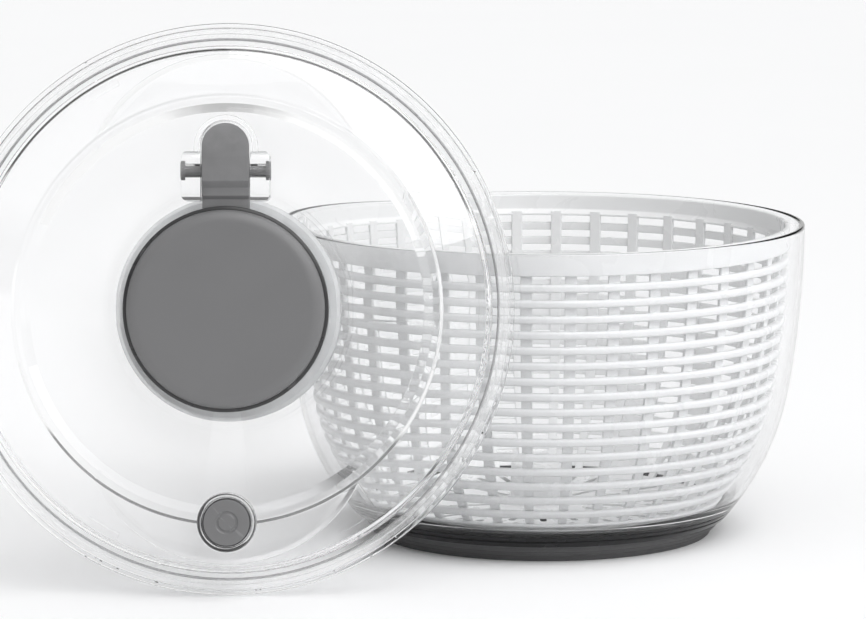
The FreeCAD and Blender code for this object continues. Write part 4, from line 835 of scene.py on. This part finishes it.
class SPINNER_OT_foot(bpy.types.Operator):
    """Build the hard foot ring and the soft grip foot"""
    bl_idname = "spinner.foot"
    bl_label = "Foot rings"

    def execute(self, context):
        sizes, wall = settings("bowl"), Wall()
        low, high = (corner.z for corner in own_box("base_ring"))
        skin, crease = sizes.ring_skin, (low + high) / 2
        outline = [(wall.radius(low, skin), low), (wall.radius(low), low, 0.0005),
                   (wall.radius(crease - 0.0005), crease - 0.0005, 0.0003),
                   (wall.radius(crease, 0.0006), crease, 0.0002),
                   (wall.radius(crease + 0.0005), crease + 0.0005, 0.0003),
                   (wall.radius(high), high, 0.0007), (wall.radius(high, skin), high)]
        ring = lathe("foot_ring", rounded(outline), sizes.around)
        smooth(ring, 40)
        dress(ring, "base_ring", "bowl", dark_gloss())
        step, sole = sizes.grip_step, own_box("outer_bowl")[0].z
        inner = sizes.foot_hole
        outline = [(inner, 0, 0.0005), (wall.radius(sole, step) - 0.0018, 0, 0.0008),
                   (wall.radius(sole / 2, step), sole / 2, 0.001)]
        ribs = 3
        for index in range(ribs):
            height = sole / 2 + (low - sole / 2) * (index + 0.6) / ribs
            outline += [(wall.radius(height - 0.0003, step), height - 0.0003, 0.0001),
                        (wall.radius(height, step + 0.0003), height, 0.0001),
                        (wall.radius(height + 0.0003, step), height + 0.0003, 0.0001)]
        outline += [(wall.radius(low, step), low, 0.0004), (wall.radius(low, skin), low),
                    (wall.radius(sole, skin), sole), (inner, sole, 0.0005)]
        foot = lathe("grip_foot_rubber", rounded(outline, 3), sizes.around)
        smooth(foot, 40)
        dress(foot, "grip_foot", "bowl", grip_rubber())
        return {"FINISHED"}


class SPINNER_OT_basket(bpy.types.Operator):
    """Build the slotted basket: band, hoops, staves, floor and hub"""
    bl_idname = "spinner.basket"
    bl_label = "Basket"

    def execute(self, context):
        sizes, wall = settings("basket"), Wall()
        inset = settings("bowl").wall + sizes.gap
        low, top = (corner.z for corner in own_box("basket"))
        band_low = top - sizes.band_height
        band = inset + sizes.band_wall
        inner = inset + sizes.stave_inset + sizes.stave_wall
        outline = [(wall.radius(band_low, inset), band_low, 0.0006), (wall.radius(top, inset), top, 0.0008),
                   (wall.radius(top, band), top, 0.0008),
                   (wall.radius(band_low + 0.003, band), band_low + 0.003, 0.001),
                   (wall.radius(band_low + 0.001, inner), band_low + 0.001, 0.0005),
                   (wall.radius(band_low, inner), band_low, 0.0003)]
        pieces = [lathe("band", rounded(outline), 216)]
        pitch = (sizes.hoop_top - sizes.hoop_bottom) / (sizes.hoops - 1)
        for index in range(sizes.hoops):
            middle = sizes.hoop_bottom + index * pitch
            pieces.append(lathe("hoop", hoop_outline(wall, middle, sizes, inset), 216))
        pieces.append(make_staves(wall, sizes, inset, low + sizes.floor_wall, band_low + 0.002))
        pieces.append(basket_floor(wall, sizes, inset, low))
        basket = joined("slotted_basket", pieces)
        smooth(basket, 38)
        dress(basket, "basket", "basket", white_plastic())
        paint("pivot_bearing", acetal())
        return {"FINISHED"}


# ------------------------------------------------------------------ lid shapes

def lid_levels():
    """Radii of the lid's features, worked out inwards from its lip."""
    sizes = settings("lid")
    rim = lid_box("lid_shell")[1].x
    step = rim - sizes.flange
    shoulder = step - sizes.bevel_width
    ridge = shoulder - sizes.slope
    outer = ridge - sizes.ridge_bevel
    inner = outer - sizes.ridge_width
    return {"rim": rim, "step": step, "shoulder": shoulder, "ridge": ridge, "outer": outer, "inner": inner,
            "flat": inner - sizes.ridge_slope}


def lobe_outline(radius, centre, steps=72):
    """Outline of the two overlapping round lobes."""
    half = math.acos(-centre / radius) - math.pi / 2
    start, stop = -half, math.pi + half
    points = []
    for side in (1, -1):
        for index in range(steps):
            angle = start + (stop - start) * index / steps
            points.append((side * radius * math.cos(angle), side * (centre + radius * math.sin(angle))))
    return points


def guard_outline(half, gap, wall, middle, foot, steps=24):
    """U-shaped outline of the guard round the tail."""
    inner, outer = half + gap, half + gap + wall
    arc = [math.pi * index / steps for index in range(steps + 1)]
    points = [(outer * math.cos(a), middle + outer * math.sin(a)) for a in arc]
    points += [(-outer, foot), (-inner, foot)]
    points += [(inner * math.cos(a), middle + inner * math.sin(a)) for a in reversed(arc)]
    return points + [(inner, foot), (outer, foot)]


def lug_outline(sizes):
    """Side view of a lug, rounded over the pin."""
    back = PIN.y + sizes.lug_back
    front = back - sizes.lug_length
    top = PIN.z + sizes.lug_round
    low = sizes.dome - sizes.wall * 0.6
    return rounded([(front, low), (back, low), (back, top, 0.0035), (front, top, 0.0035)], 6)


def rounded_lug(sizes, side, near):
    """One lug: its side view cut to a plan with rounded outer corners."""
    ends = sorted((side * near, side * (near + sizes.lug_width)))
    lug = side_prism("lug", lug_outline(sizes), *ends, 0.0005, LID)
    back = PIN.y + sizes.lug_back
    front = back - sizes.lug_length
    inner, outer = side * (near - 0.001), side * (near + sizes.lug_width)
    plan = rounded([(inner, front - 0.0001), (outer, front - 0.0001, 0.0028), (outer, back + 0.0001, 0.0028),
                    (inner, back + 0.0001)], 8)
    combine(lug, prism("plan", plan, 0, 0.05, 0.0, LID), "INTERSECT")
    return lug


def ring_notches(sizes, at):
    """Cutters for the small moulded breaks in the lid's rings."""
    half, deep = sizes.notch_width / 2, sizes.notch_depth
    ridge_top = sizes.dome + sizes.ridge_height
    rows = ((at["rim"] - 0.0022, at["rim"] + 0.001, 0, range(30, 360, 60)),
            (at["step"] - 0.0016, at["step"] + 0.0016, sizes.step_height * 0.86, range(30, 360, 45)),
            (at["inner"] - 0.0006, at["outer"] + 0.0006, ridge_top, (38, 142, 218, 322)))
    cutters = []
    for near, far, level, angles in rows:
        outline = [(near, -half), (far, -half), (far, half), (near, half)]
        for angle in angles:
            turn = LID @ Matrix.Rotation(math.radians(angle + 90), 4, "Z")
            cutters.append(prism("notch", outline, level - deep, level + 0.002, 0.0, turn))
    return joined("notches", cutters)


def cover_outline(sizes, at):
    """Cross-section of the lid's outside, filled in to its axis."""
    low, rim, groove = lid_box("lid_shell")[0].z, at["rim"], at["rim"] - 0.0049
    dome, ridge_top = sizes.dome, sizes.dome + sizes.ridge_height
    return rounded([
        (0, low), (rim, low, 0.0008), (rim, 0, 0.0009), (groove + 0.0003, 0, 0.0002),
        (groove, -0.0003, 0.0002), (groove - 0.0003, 0, 0.0002), (at["step"], 0, 0.0004),
        (at["step"] - 0.0004, sizes.step_height, 0.0012),
        (at["shoulder"], sizes.step_height + 0.0007, 0.0008), (at["ridge"], dome, 0.0006),
        (at["outer"], ridge_top, 0.0006), (at["inner"], ridge_top, 0.0006), (at["flat"], dome, 0.0008),
        (0, dome)])


def cavity_outline(sizes, at, boss):
    """Cross-section of the room under the lid, which leaves the plunger's guide standing."""
    low, wall, guide_low = lid_box("lid_shell")[0].z, sizes.wall, 0.0035
    lip, inner_step, roof = at["rim"] - sizes.lip_wall, at["step"] - wall, sizes.dome - wall
    return rounded([
        (0, low - 0.001), (lip, low - 0.001), (lip, -wall, 0.0006), (inner_step, -wall, 0.0004),
        (inner_step - 0.0005, sizes.step_height - 0.002, 0.0008), (at["ridge"] - 0.0009, roof, 0.0008),
        (boss, roof, 0.0008), (boss, guide_low, 0.0004), (0, guide_low)])


def lug_start(sizes):
    """Where the lugs start, from the lid's middle line, so that the pin's heads lie in their outer faces."""
    return lid_box("hinge_pin")[1].x - 0.0004 - sizes.lug_width


def guide_radius():
    """Radius of the bore that guides the plunger."""
    return lid_box("plunger")[1].x + 0.0003


def raise_top(shell, sizes, lobe, centre):
    """Add the flat lobes, the lugs and the tail's guard."""
    lobes = prism("lobes", lobe_outline(lobe, centre), 0.0005, sizes.dome - 0.00004, 0.0006, LID)
    combine(shell, lobes, "UNION")
    for side in (1, -1):
        combine(shell, rounded_lug(sizes, side, lug_start(sizes)), "UNION")
    half = settings("lever").arm_width / 2
    outline = guard_outline(half, sizes.guard_gap, sizes.guard_wall, lid_box("lever_arm")[1].y - half,
                            PIN.y + sizes.lug_back - 0.002)
    guard = prism("guard", outline, sizes.dome - sizes.wall * 0.6, sizes.dome + sizes.guard_height, 0.0006,
                  LID)
    combine(shell, guard, "UNION")


def hollow_out(shell, sizes, at, lobe, centre):
    """Cut the room under the lid and under its lobes."""
    boss = guide_radius() + 0.0027
    cavity = lathe("cavity", cavity_outline(sizes, at, boss), sizes.around, LID)
    lobe_cavity = prism("lobe_cavity", lobe_outline(lobe - sizes.wall, centre), -sizes.wall - 0.0002,
                        sizes.dome - sizes.wall - 0.00004, 0.0, LID)
    keep = lathe("keep", [(0, -0.02), (boss - 0.0001, -0.02), (boss - 0.0001, 0.03), (0, 0.03)], 96, LID)
    combine(lobe_cavity, keep, "DIFFERENCE")
    combine(shell, cavity, "DIFFERENCE")
    combine(shell, lobe_cavity, "DIFFERENCE")


def cut_holes(shell, sizes):
    """Cut the plunger's bore, the collar's seat and the pin's holes."""
    guide, dome, above = guide_radius(), sizes.dome, sizes.dome + sizes.ridge_height + 0.001
    bore = lathe("bore", [(0, -0.001), (guide, -0.001), (guide, dome + 0.001), (0, dome + 0.001)], 96, LID)
    combine(shell, bore, "DIFFERENCE")
    barrel, seat = settings("drive").collar_barrel, lid_box("button_collar")[1].x
    outline = [(0, 0), (barrel, 0), (barrel, dome), (seat, dome), (seat, above), (0, above)]
    combine(shell, lathe("seat", outline, 96, LID @ Matrix.Translation(BRAKE)), "DIFFERENCE")
    low, high = lid_box("pin_cap")
    reach = lug_start(sizes) + sizes.lug_width
    at_pin = (PIN.y, PIN.z)
    combine(shell, round_bar("pin_hole", 0.003, -reach - 0.001, reach + 0.001, at_pin, LID), "DIFFERENCE")
    for side in (1, -1):
        span = sorted((side * (reach - 0.0018), side * (reach + 0.001)))
        combine(shell, round_bar("head_seat", (high.y - low.y) / 2, *span, at_pin, LID), "DIFFERENCE")


def add_screw_bosses(shell, sizes):
    """Add the bosses that the housing's screws go into."""
    bottom, top = 0.004, sizes.dome - sizes.wall + 0.0005
    outline = rounded([(0.0013, bottom), (0.0038, bottom, 0.0004), (0.0038, top), (0.0013, top)])
    for index in range(4):
        turn = Matrix.Rotation(math.pi * index / 2, 4, "Z") @ Matrix.Translation((0.030, 0, 0))
        combine(shell, lathe("screw_boss", outline, 40, LID @ turn), "UNION")


class SPINNER_OT_lid(bpy.types.Operator):
    """Build the clear lid with its lugs, tail guard and holes"""
    bl_idname = "spinner.lid"
    bl_label = "Lid"

    def execute(self, context):
        sizes, at = settings("lid"), lid_levels()
        lobe = (at["step"] - sizes.lobe_margin + sizes.lobe_overlap) / 2
        centre = lobe - sizes.lobe_overlap
        shell = lathe("lid_cover", cover_outline(sizes, at), sizes.around, LID)
        raise_top(shell, sizes, lobe, centre)
        hollow_out(shell, sizes, at, lobe, centre)
        cut_holes(shell, sizes)
        add_screw_bosses(shell, sizes)
        combine(shell, ring_notches(sizes, at), "DIFFERENCE")
        smooth(shell, 30)
        dress(shell, "lid_shell", "lid", clear_plastic())
        return {"FINISHED"}


def seal_ring(bead):
    """The lid's seal: a thin clear web with a grey bead on its inner edge."""
    low, high = lid_box("lid_gasket")
    inverse = LID.inverted()
    points = [inverse @ vertex.co for vertex in frame["nodes"]["lid_gasket"].data.vertices]
    inner = min(math.hypot(point.x, point.y) for point in points)
    web = lathe("seal_web", rounded([
        (inner + bead * 0.6, low.z + 0.0004), (high.x, low.z, 0.0003), (high.x, high.z, 0.0002),
        (inner + bead * 0.6, high.z)]), 256, LID)
    middle = (low.z + high.z) / 2
    tube = [(inner + bead / 2 * (1 + math.cos(a)), middle + bead / 2 * math.sin(a))
            for a in (2 * math.pi * index / 16 for index in range(16))]
    edge = lathe("seal_bead", tube, 256, LID)
    smooth(web)
    smooth(edge, 60)
    dress(web, "lid_gasket", "lid", clear_silicone())
    dress(edge, "lid_gasket", "lid", grey_silicone())


class SPINNER_OT_fittings(bpy.types.Operator):
    """Build the button's collar and the lid's seal, and finish the pin, housing and screws"""
    bl_idname = "spinner.fittings"
    bl_label = "Lid fittings"

    def execute(self, context):
        sizes = settings("drive")
        low, high = lid_box("button_collar")
        dome = settings("lid").dome
        flange, barrel = high.x, sizes.collar_barrel
        well = lid_box("brake_button")[1].x + 0.0003
        hole = lid_box("brake_stem")[1].x + 0.0003
        floor = low.z + sizes.collar_floor
        collar = lathe("button_collar_ring", rounded([
            (hole, low.z), (barrel, low.z, 0.0004), (barrel, dome), (flange, dome), (flange, high.z, 0.0009),
            (well, high.z, 0.0007), (well, floor, 0.0004), (hole, floor)]), 128,
            LID @ Matrix.Translation(BRAKE))
        smooth(collar)
        dress(collar, "button_collar", "lid", clear_plastic())
        seal_ring(settings("lid").bead)
        trim = lathe("collar_seal", rounded([
            (barrel - 0.0001, dome + 0.0001), (flange - 0.0002, dome + 0.0001),
            (flange - 0.0002, dome + 0.0009), (barrel - 0.0001, dome + 0.0009)]), 128,
            LID @ Matrix.Translation(BRAKE))
        smooth(trim)
        dress(trim, "button_collar", "lid", shade_and_trim_dark_plastic())
        paint("hinge_pin", grey_plastic())
        paint("pin_cap", grey_plastic())
        paint("mechanism_housing", pale_plastic())
        paint("housing_cover", pale_plastic())
        for node in ("housing_screws", "cover_screws"):
            paint(node, steel())
        return {"FINISHED"}


# ------------------------------------------------------------------ lever, drive and brake

def arm_outline(sizes, pad_low, pad_radius, tail):
    """Side view of the lever's arm."""
    neck = pad_low + sizes.arm_height
    top = PIN.z + sizes.boss
    tail_top = top - 0.001
    tail_low = tail_top - sizes.tail_thickness
    start = pad_radius * 0.8
    return rounded([
        (start, pad_low), (PIN.y - sizes.boss - 0.001, pad_low, 0.002),
        (PIN.y - 0.003, PIN.z - sizes.boss, 0.003), (PIN.y + 0.003, PIN.z - sizes.boss, 0.003),
        (PIN.y + sizes.boss, PIN.z, 0.002),
        (PIN.y + sizes.boss + 0.002, tail_low, 0.001), (tail, tail_low), (tail, tail_top - 0.001),
        (tail - 0.001, tail_top), (PIN.y + 0.006, top, 0.002), (PIN.y - 0.0045, top, 0.0008),
        (PIN.y - 0.0075, neck + 0.0026, 0.0006), (PIN.y - 0.011, neck + 0.002, 0.0006),
        (PIN.y - 0.0125, neck, 0.0005), (start, neck)], 5)


class SPINNER_OT_lever(bpy.types.Operator):
    """Build the press pad and the lever arm"""
    bl_idname = "spinner.lever"
    bl_label = "Press lever"

    def execute(self, context):
        sizes = settings("lever")
        low, high = lid_box("press_pad")
        radius, wall = high.x, sizes.pad_wall
        shelf, edge = high.z - sizes.bevel_drop, radius - sizes.edge
        bulge = [(edge - sizes.bevel * (1 - math.cos(a)), shelf + sizes.bevel_drop * math.sin(a))
                 for a in (math.pi / 2 * index / 10 for index in range(11))]
        seam = edge + 0.0002
        outline = [(radius - wall, low.z, 0.0004), (seam, low.z, 0.0002), (seam, shelf - 0.0002, 0.0002)]
        outline += bulge
        outline += [(0, high.z), (0, high.z - wall), (edge - sizes.bevel, high.z - wall, 0.002),
                    (radius - wall, shelf - wall, 0.002)]
        pad = lathe("press_pad_shell", rounded(outline), 200, LID)
        # Painted shade: the pad's side wall is drawn as a separate ring in dark plastic.
        rim = lathe("press_pad_painted_shade_ring", rounded([
            (seam - 0.0003, low.z + 0.0001), (radius, low.z + 0.0001, 0.0007),
            (radius, shelf - 0.0010, 0.0006), (seam + 0.0002, shelf - 0.0006, 0.0003),
            (seam - 0.0003, shelf - 0.0008)]), 200, LID)
        arm_half = sizes.arm_width / 2
        notch = prism("notch", [(-arm_half - 0.0002, radius * 0.7), (arm_half + 0.0002, radius * 0.7),
                                (arm_half + 0.0002, radius + 0.001), (-arm_half - 0.0002, radius + 0.001)],
                      low.z - 0.001, low.z + sizes.arm_height + 0.0002, 0.0, LID)
        bake_modifier(rim, "BOOLEAN", operation="DIFFERENCE", object=notch, solver="EXACT")
        combine(pad, notch, "DIFFERENCE")
        smooth(pad)
        smooth(rim)
        dress(pad, "press_pad", "lever", grey_plastic())
        dress(rim, "press_pad", "lever", shade_and_trim_dark_plastic())
        tail = lid_box("lever_arm")[1].y
        arm = side_prism("lever_arm_body", arm_outline(sizes, low.z, radius, tail), -arm_half, arm_half,
                         sizes.soften, LID)
        middle, steps = tail - arm_half, 24
        plan = [(arm_half * math.cos(math.pi * i / steps), middle + arm_half * math.sin(math.pi * i / steps))
                for i in range(steps + 1)]
        plan = [(arm_half + 0.001, 0), (arm_half + 0.001, middle)] + plan
        plan += [(-arm_half - 0.001, middle), (-arm_half - 0.001, 0)]
        combine(arm, prism("plan", plan, 0, 0.05, 0.0, LID), "INTERSECT")
        combine(arm, lathe("plate", rounded([(0, low.z), (radius - wall, low.z, 0.0003),
                                             (radius - wall, low.z + wall, 0.0003), (0, low.z + wall)]), 160,
                           LID), "UNION")
        combine(arm, round_bar("pin_hole", 0.00305, -0.02, 0.02, (PIN.y, PIN.z), LID), "DIFFERENCE")
        smooth(arm, 30)
        dress(arm, "lever_arm", "lever", grey_plastic())
        paint("pad_screws", steel())
        return {"FINISHED"}


class SPINNER_OT_drive(bpy.types.Operator):
    """Build the drive disc and return spring, and finish the plunger, spindle and clutch"""
    bl_idname = "spinner.drive"
    bl_label = "Drive"

    def execute(self, context):
        sizes = settings("drive")
        low, high = lid_box("drive_disc")
        edge = high.x
        under = high.z - sizes.disc_wall
        boss_low = low.z
        drum_low = boss_low + sizes.boss_drop
        floor = drum_low + sizes.drum_wall
        inner = sizes.drum_radius - sizes.drum_wall
        disc = lathe("drive_disc_plate", rounded([
            (sizes.bush_radius, boss_low), (sizes.boss_radius, boss_low, 0.0006),
            (sizes.boss_radius, drum_low, 0.0008), (sizes.drum_radius, drum_low, 0.002),
            (sizes.drum_radius, under, 0.0015), (edge, under, 0.0006), (edge, high.z, 0.0006),
            (inner, high.z, 0.001), (inner, floor, 0.0015), (sizes.bush_radius, floor)]), 224, LID)
        half = sizes.tab_width / 2 / edge
        for index in range(sizes.tabs):
            angles = [2 * math.pi * index / sizes.tabs + half * (step / 4 - 1) for step in range(9)]
            outline = [(edge * math.cos(a) * 0.9995, edge * math.sin(a) * 0.9995) for a in angles]
            outline += [((edge - sizes.tab_wall) * math.cos(a), (edge - sizes.tab_wall) * math.sin(a))
                        for a in reversed(angles)]
            combine(disc, prism("tab", outline, under - sizes.tab_drop, under + 0.0008, 0.0005, LID), "UNION")
        smooth(disc)
        dress(disc, "drive_disc", "disc", frosted_plastic())
        paint("plunger", grey_plastic())
        make_spring("return_spring", sizes.spring_wire, sizes.spring_turns, Vector((0, 0, 0)))
        for node in ("drive_nut", "spindle", "pawl_wheel", "ratchet_ring", "disc_bush"):
            paint(node, acetal())
        for node in ("disc_washer", "disc_screw"):
            paint(node, steel())
        return {"FINISHED"}


class SPINNER_OT_brake(bpy.types.Operator):
    """Build the brake button and its spring, and finish the stem and shoe"""
    bl_idname = "spinner.brake"
    bl_label = "Brake"

    def execute(self, context):
        sizes = settings("drive")
        low, high = lid_box("brake_button")
        radius, wall, top = high.x, sizes.button_wall, high.z
        ring, width = sizes.dimple, sizes.dimple_width / 2
        stem = lid_box("brake_stem")[1].x
        button = lathe("brake_button_cap", rounded([
            (stem, low.z), (stem + wall, low.z, 0.0003), (stem + wall, top - wall, 0.0004),
            (radius - wall, top - wall, 0.0006), (radius - wall, low.z, 0.0003), (radius, low.z, 0.0003),
            (radius, top, 0.0011), (ring + width * 3, top, 0.0002), (ring + width, top - 0.0005, 0.0002),
            (ring - width, top - 0.0005, 0.0002), (ring - width * 3, top, 0.0002), (0, top),
            (0, top - wall), (stem, top - wall)]), 128, LID @ Matrix.Translation(BRAKE))
        # Painted shade: the button's rounded side wall is drawn as a separate ring in dark plastic.
        edge = lathe("brake_button_painted_shade_ring", rounded([
            (radius - 0.0006, low.z + 0.0001), (radius + 0.00006, low.z + 0.0001),
            (radius + 0.00006, top - 0.0003, 0.0008), (radius - 0.0006, top + 0.00005, 0.0002)]), 128,
            LID @ Matrix.Translation(BRAKE))
        smooth(button)
        smooth(edge)
        dress(button, "brake_button", "brake", grey_plastic())
        dress(edge, "brake_button", "brake", shade_and_trim_dark_plastic())
        paint("brake_stem", grey_plastic())
        paint("brake_shoe", brake_rubber())
        make_spring("brake_spring", sizes.brake_wire, sizes.brake_turns, BRAKE)
        return {"FINISHED"}


# ------------------------------------------------------------------ stage

def area_light(name, place, target, width, height, power):
    """A soft rectangular lamp aimed at a point."""
    data = bpy.data.lights.new(name, "AREA")
    data.shape = "RECTANGLE"
    data.size, data.size_y, data.energy = width, height, power
    lamp = bpy.data.objects.new(name, data)
    lamp.location = place
    lamp.rotation_euler = (Vector(target) - Vector(place)).to_track_quat("-Z", "Y").to_euler()
    bpy.context.scene.collection.objects.link(lamp)


def soft_sun(name, direction, angle, strength):
    """A very soft lamp that lights the whole floor evenly."""
    data = bpy.data.lights.new(name, "SUN")
    data.angle, data.energy = angle, strength
    lamp = bpy.data.objects.new(name, data)
    lamp.rotation_euler = Vector(direction).to_track_quat("Z", "Y").to_euler()
    bpy.context.scene.collection.objects.link(lamp)


def studio_sky(strength):
    """Surrounding light: bright above and at the horizon, with a dark belt between that draws clear edges."""
    world = bpy.data.worlds.new("studio")
    bpy.context.scene.world = world
    world.use_nodes = True
    tree = world.node_tree
    background = next(node for node in tree.nodes if node.type == "BACKGROUND")
    place = add_node(tree, "ShaderNodeTexCoord")
    split = add_node(tree, "ShaderNodeSeparateXYZ", [(place.outputs["Generated"], "Vector")])
    belts = []
    for stops in (((0.0, 1.0), (0.13, 1.0), (0.17, 0.06), (0.30, 0.06), (0.42, 0.88), (1.0, 0.78)),
                  ((0.0, 1.0), (0.13, 1.0), (0.16, 0.04), (0.50, 0.04), (0.66, 0.85), (1.0, 0.78))):
        ramp = add_node(tree, "ShaderNodeValToRGB", [(split.outputs["Z"], "Fac")])
        while len(ramp.color_ramp.elements) < len(stops):
            ramp.color_ramp.elements.new(0.5)
        for element, (position, level) in zip(ramp.color_ramp.elements, stops):
            element.position = position
            element.color = (level, level, level, 1)
        belts.append(ramp.outputs["Color"])
    depth = add_node(tree, "ShaderNodeMapRange", [(split.outputs["Y"], "Value")])
    depth.inputs["From Min"].default_value = -0.1
    depth.inputs["From Max"].default_value = 0.3
    mix = add_node(tree, "ShaderNodeMix", [(depth.outputs["Result"], "Factor")], data_type="RGBA")
    tree.links.new(belts[0], mix.inputs[6])
    tree.links.new(belts[1], mix.inputs[7])
    tree.links.new(mix.outputs[2], background.inputs["Color"])
    background.inputs["Strength"].default_value = strength


def floor_material():
    """Pale matte floor with the faintest mottling."""
    material, tree, shader, _ = blank_material("pale studio floor")
    tint = effect(tree, "melt tint", Colour=(0.93, 0.932, 0.938, 1), Shade=0.995, Scale=3.0)
    tree.links.new(tint.outputs["Colour"], shader.inputs["Base Color"])
    shader.inputs["Roughness"].default_value = 0.9
    shader.inputs["Specular IOR Level"].default_value = 0.1
    return material


class SPINNER_OT_stage(bpy.types.Operator):
    """Set up the floor, the soft lights and the camera"""
    bl_idname = "spinner.stage"
    bl_label = "Studio"

    def execute(self, context):
        scene, values = context.scene, settings("stage")
        build = bmesh.new()
        bmesh.ops.create_grid(build, x_segments=8, y_segments=8, size=9.0)
        floor = new_piece("floor", build)
        floor.data.materials.append(floor_material())
        soft_sun("key", (0.55, -0.6, 0.9), math.radians(60), values.key)
        area_light("strip", (1.4, -0.2, 0.7), (0.0, -0.05, 0.1), 0.35, 1.2, values.strip)
        studio_sky(values.sky)
        data = bpy.data.cameras.new("camera")
        data.lens, data.sensor_width = values.lens, 36
        data.clip_start, data.clip_end = 0.05, 50
        camera = bpy.data.objects.new("camera", data)
        camera.location = values.eye
        camera.rotation_euler = (math.pi / 2 - values.pitch, 0, 0)
        scene.collection.objects.link(camera)
        scene.camera = camera
        scene.view_settings.view_transform = "Standard"
        scene.cycles.max_bounces = 20
        scene.cycles.transmission_bounces = 20
        scene.cycles.transparent_max_bounces = 20
        return {"FINISHED"}


# ------------------------------------------------------------------ add-on

OPERATORS = (SPINNER_OT_stage, SPINNER_OT_bowl, SPINNER_OT_foot, SPINNER_OT_basket, SPINNER_OT_lid,
             SPINNER_OT_fittings, SPINNER_OT_lever, SPINNER_OT_drive, SPINNER_OT_brake)
GROUPS = {"bowl": BowlSizes, "basket": BasketSizes, "lid": LidSizes, "lever": LeverSizes,
          "drive": DriveSizes, "finishes": Finishes, "stage": StageSettings}


class SPINNER_PT_panel(bpy.types.Panel):
    """Lists the spinner's operators and settings"""
    bl_idname = "SPINNER_PT_panel"
    bl_label = "Salad Spinner"
    bl_space_type = "VIEW_3D"
    bl_region_type = "UI"
    bl_category = "Spinner"

    def draw(self, context):
        for operator in OPERATORS:
            self.layout.operator(operator.bl_idname)
        for name, group in GROUPS.items():
            box = self.layout.box()
            box.label(text=name)
            for key in group.__annotations__:
                box.prop(settings(name), key)


CLASSES = (*GROUPS.values(), *OPERATORS, SPINNER_PT_panel)


def register():
    """Register the classes and hang the settings on the scene."""
    for item in CLASSES:
        bpy.utils.register_class(item)
    for name, group in GROUPS.items():
        setattr(bpy.types.Scene, "spinner_" + name, PointerProperty(type=group))


def unregister():
    """Undo register."""
    for name in GROUPS:
        delattr(bpy.types.Scene, "spinner_" + name)
    for item in reversed(CLASSES):
        bpy.utils.unregister_class(item)


def main():
    """Build everything."""
    register()
    for operator in OPERATORS:
        getattr(bpy.ops.spinner, operator.bl_idname.split(".")[1])()


if __name__ == "__main__":
    main()
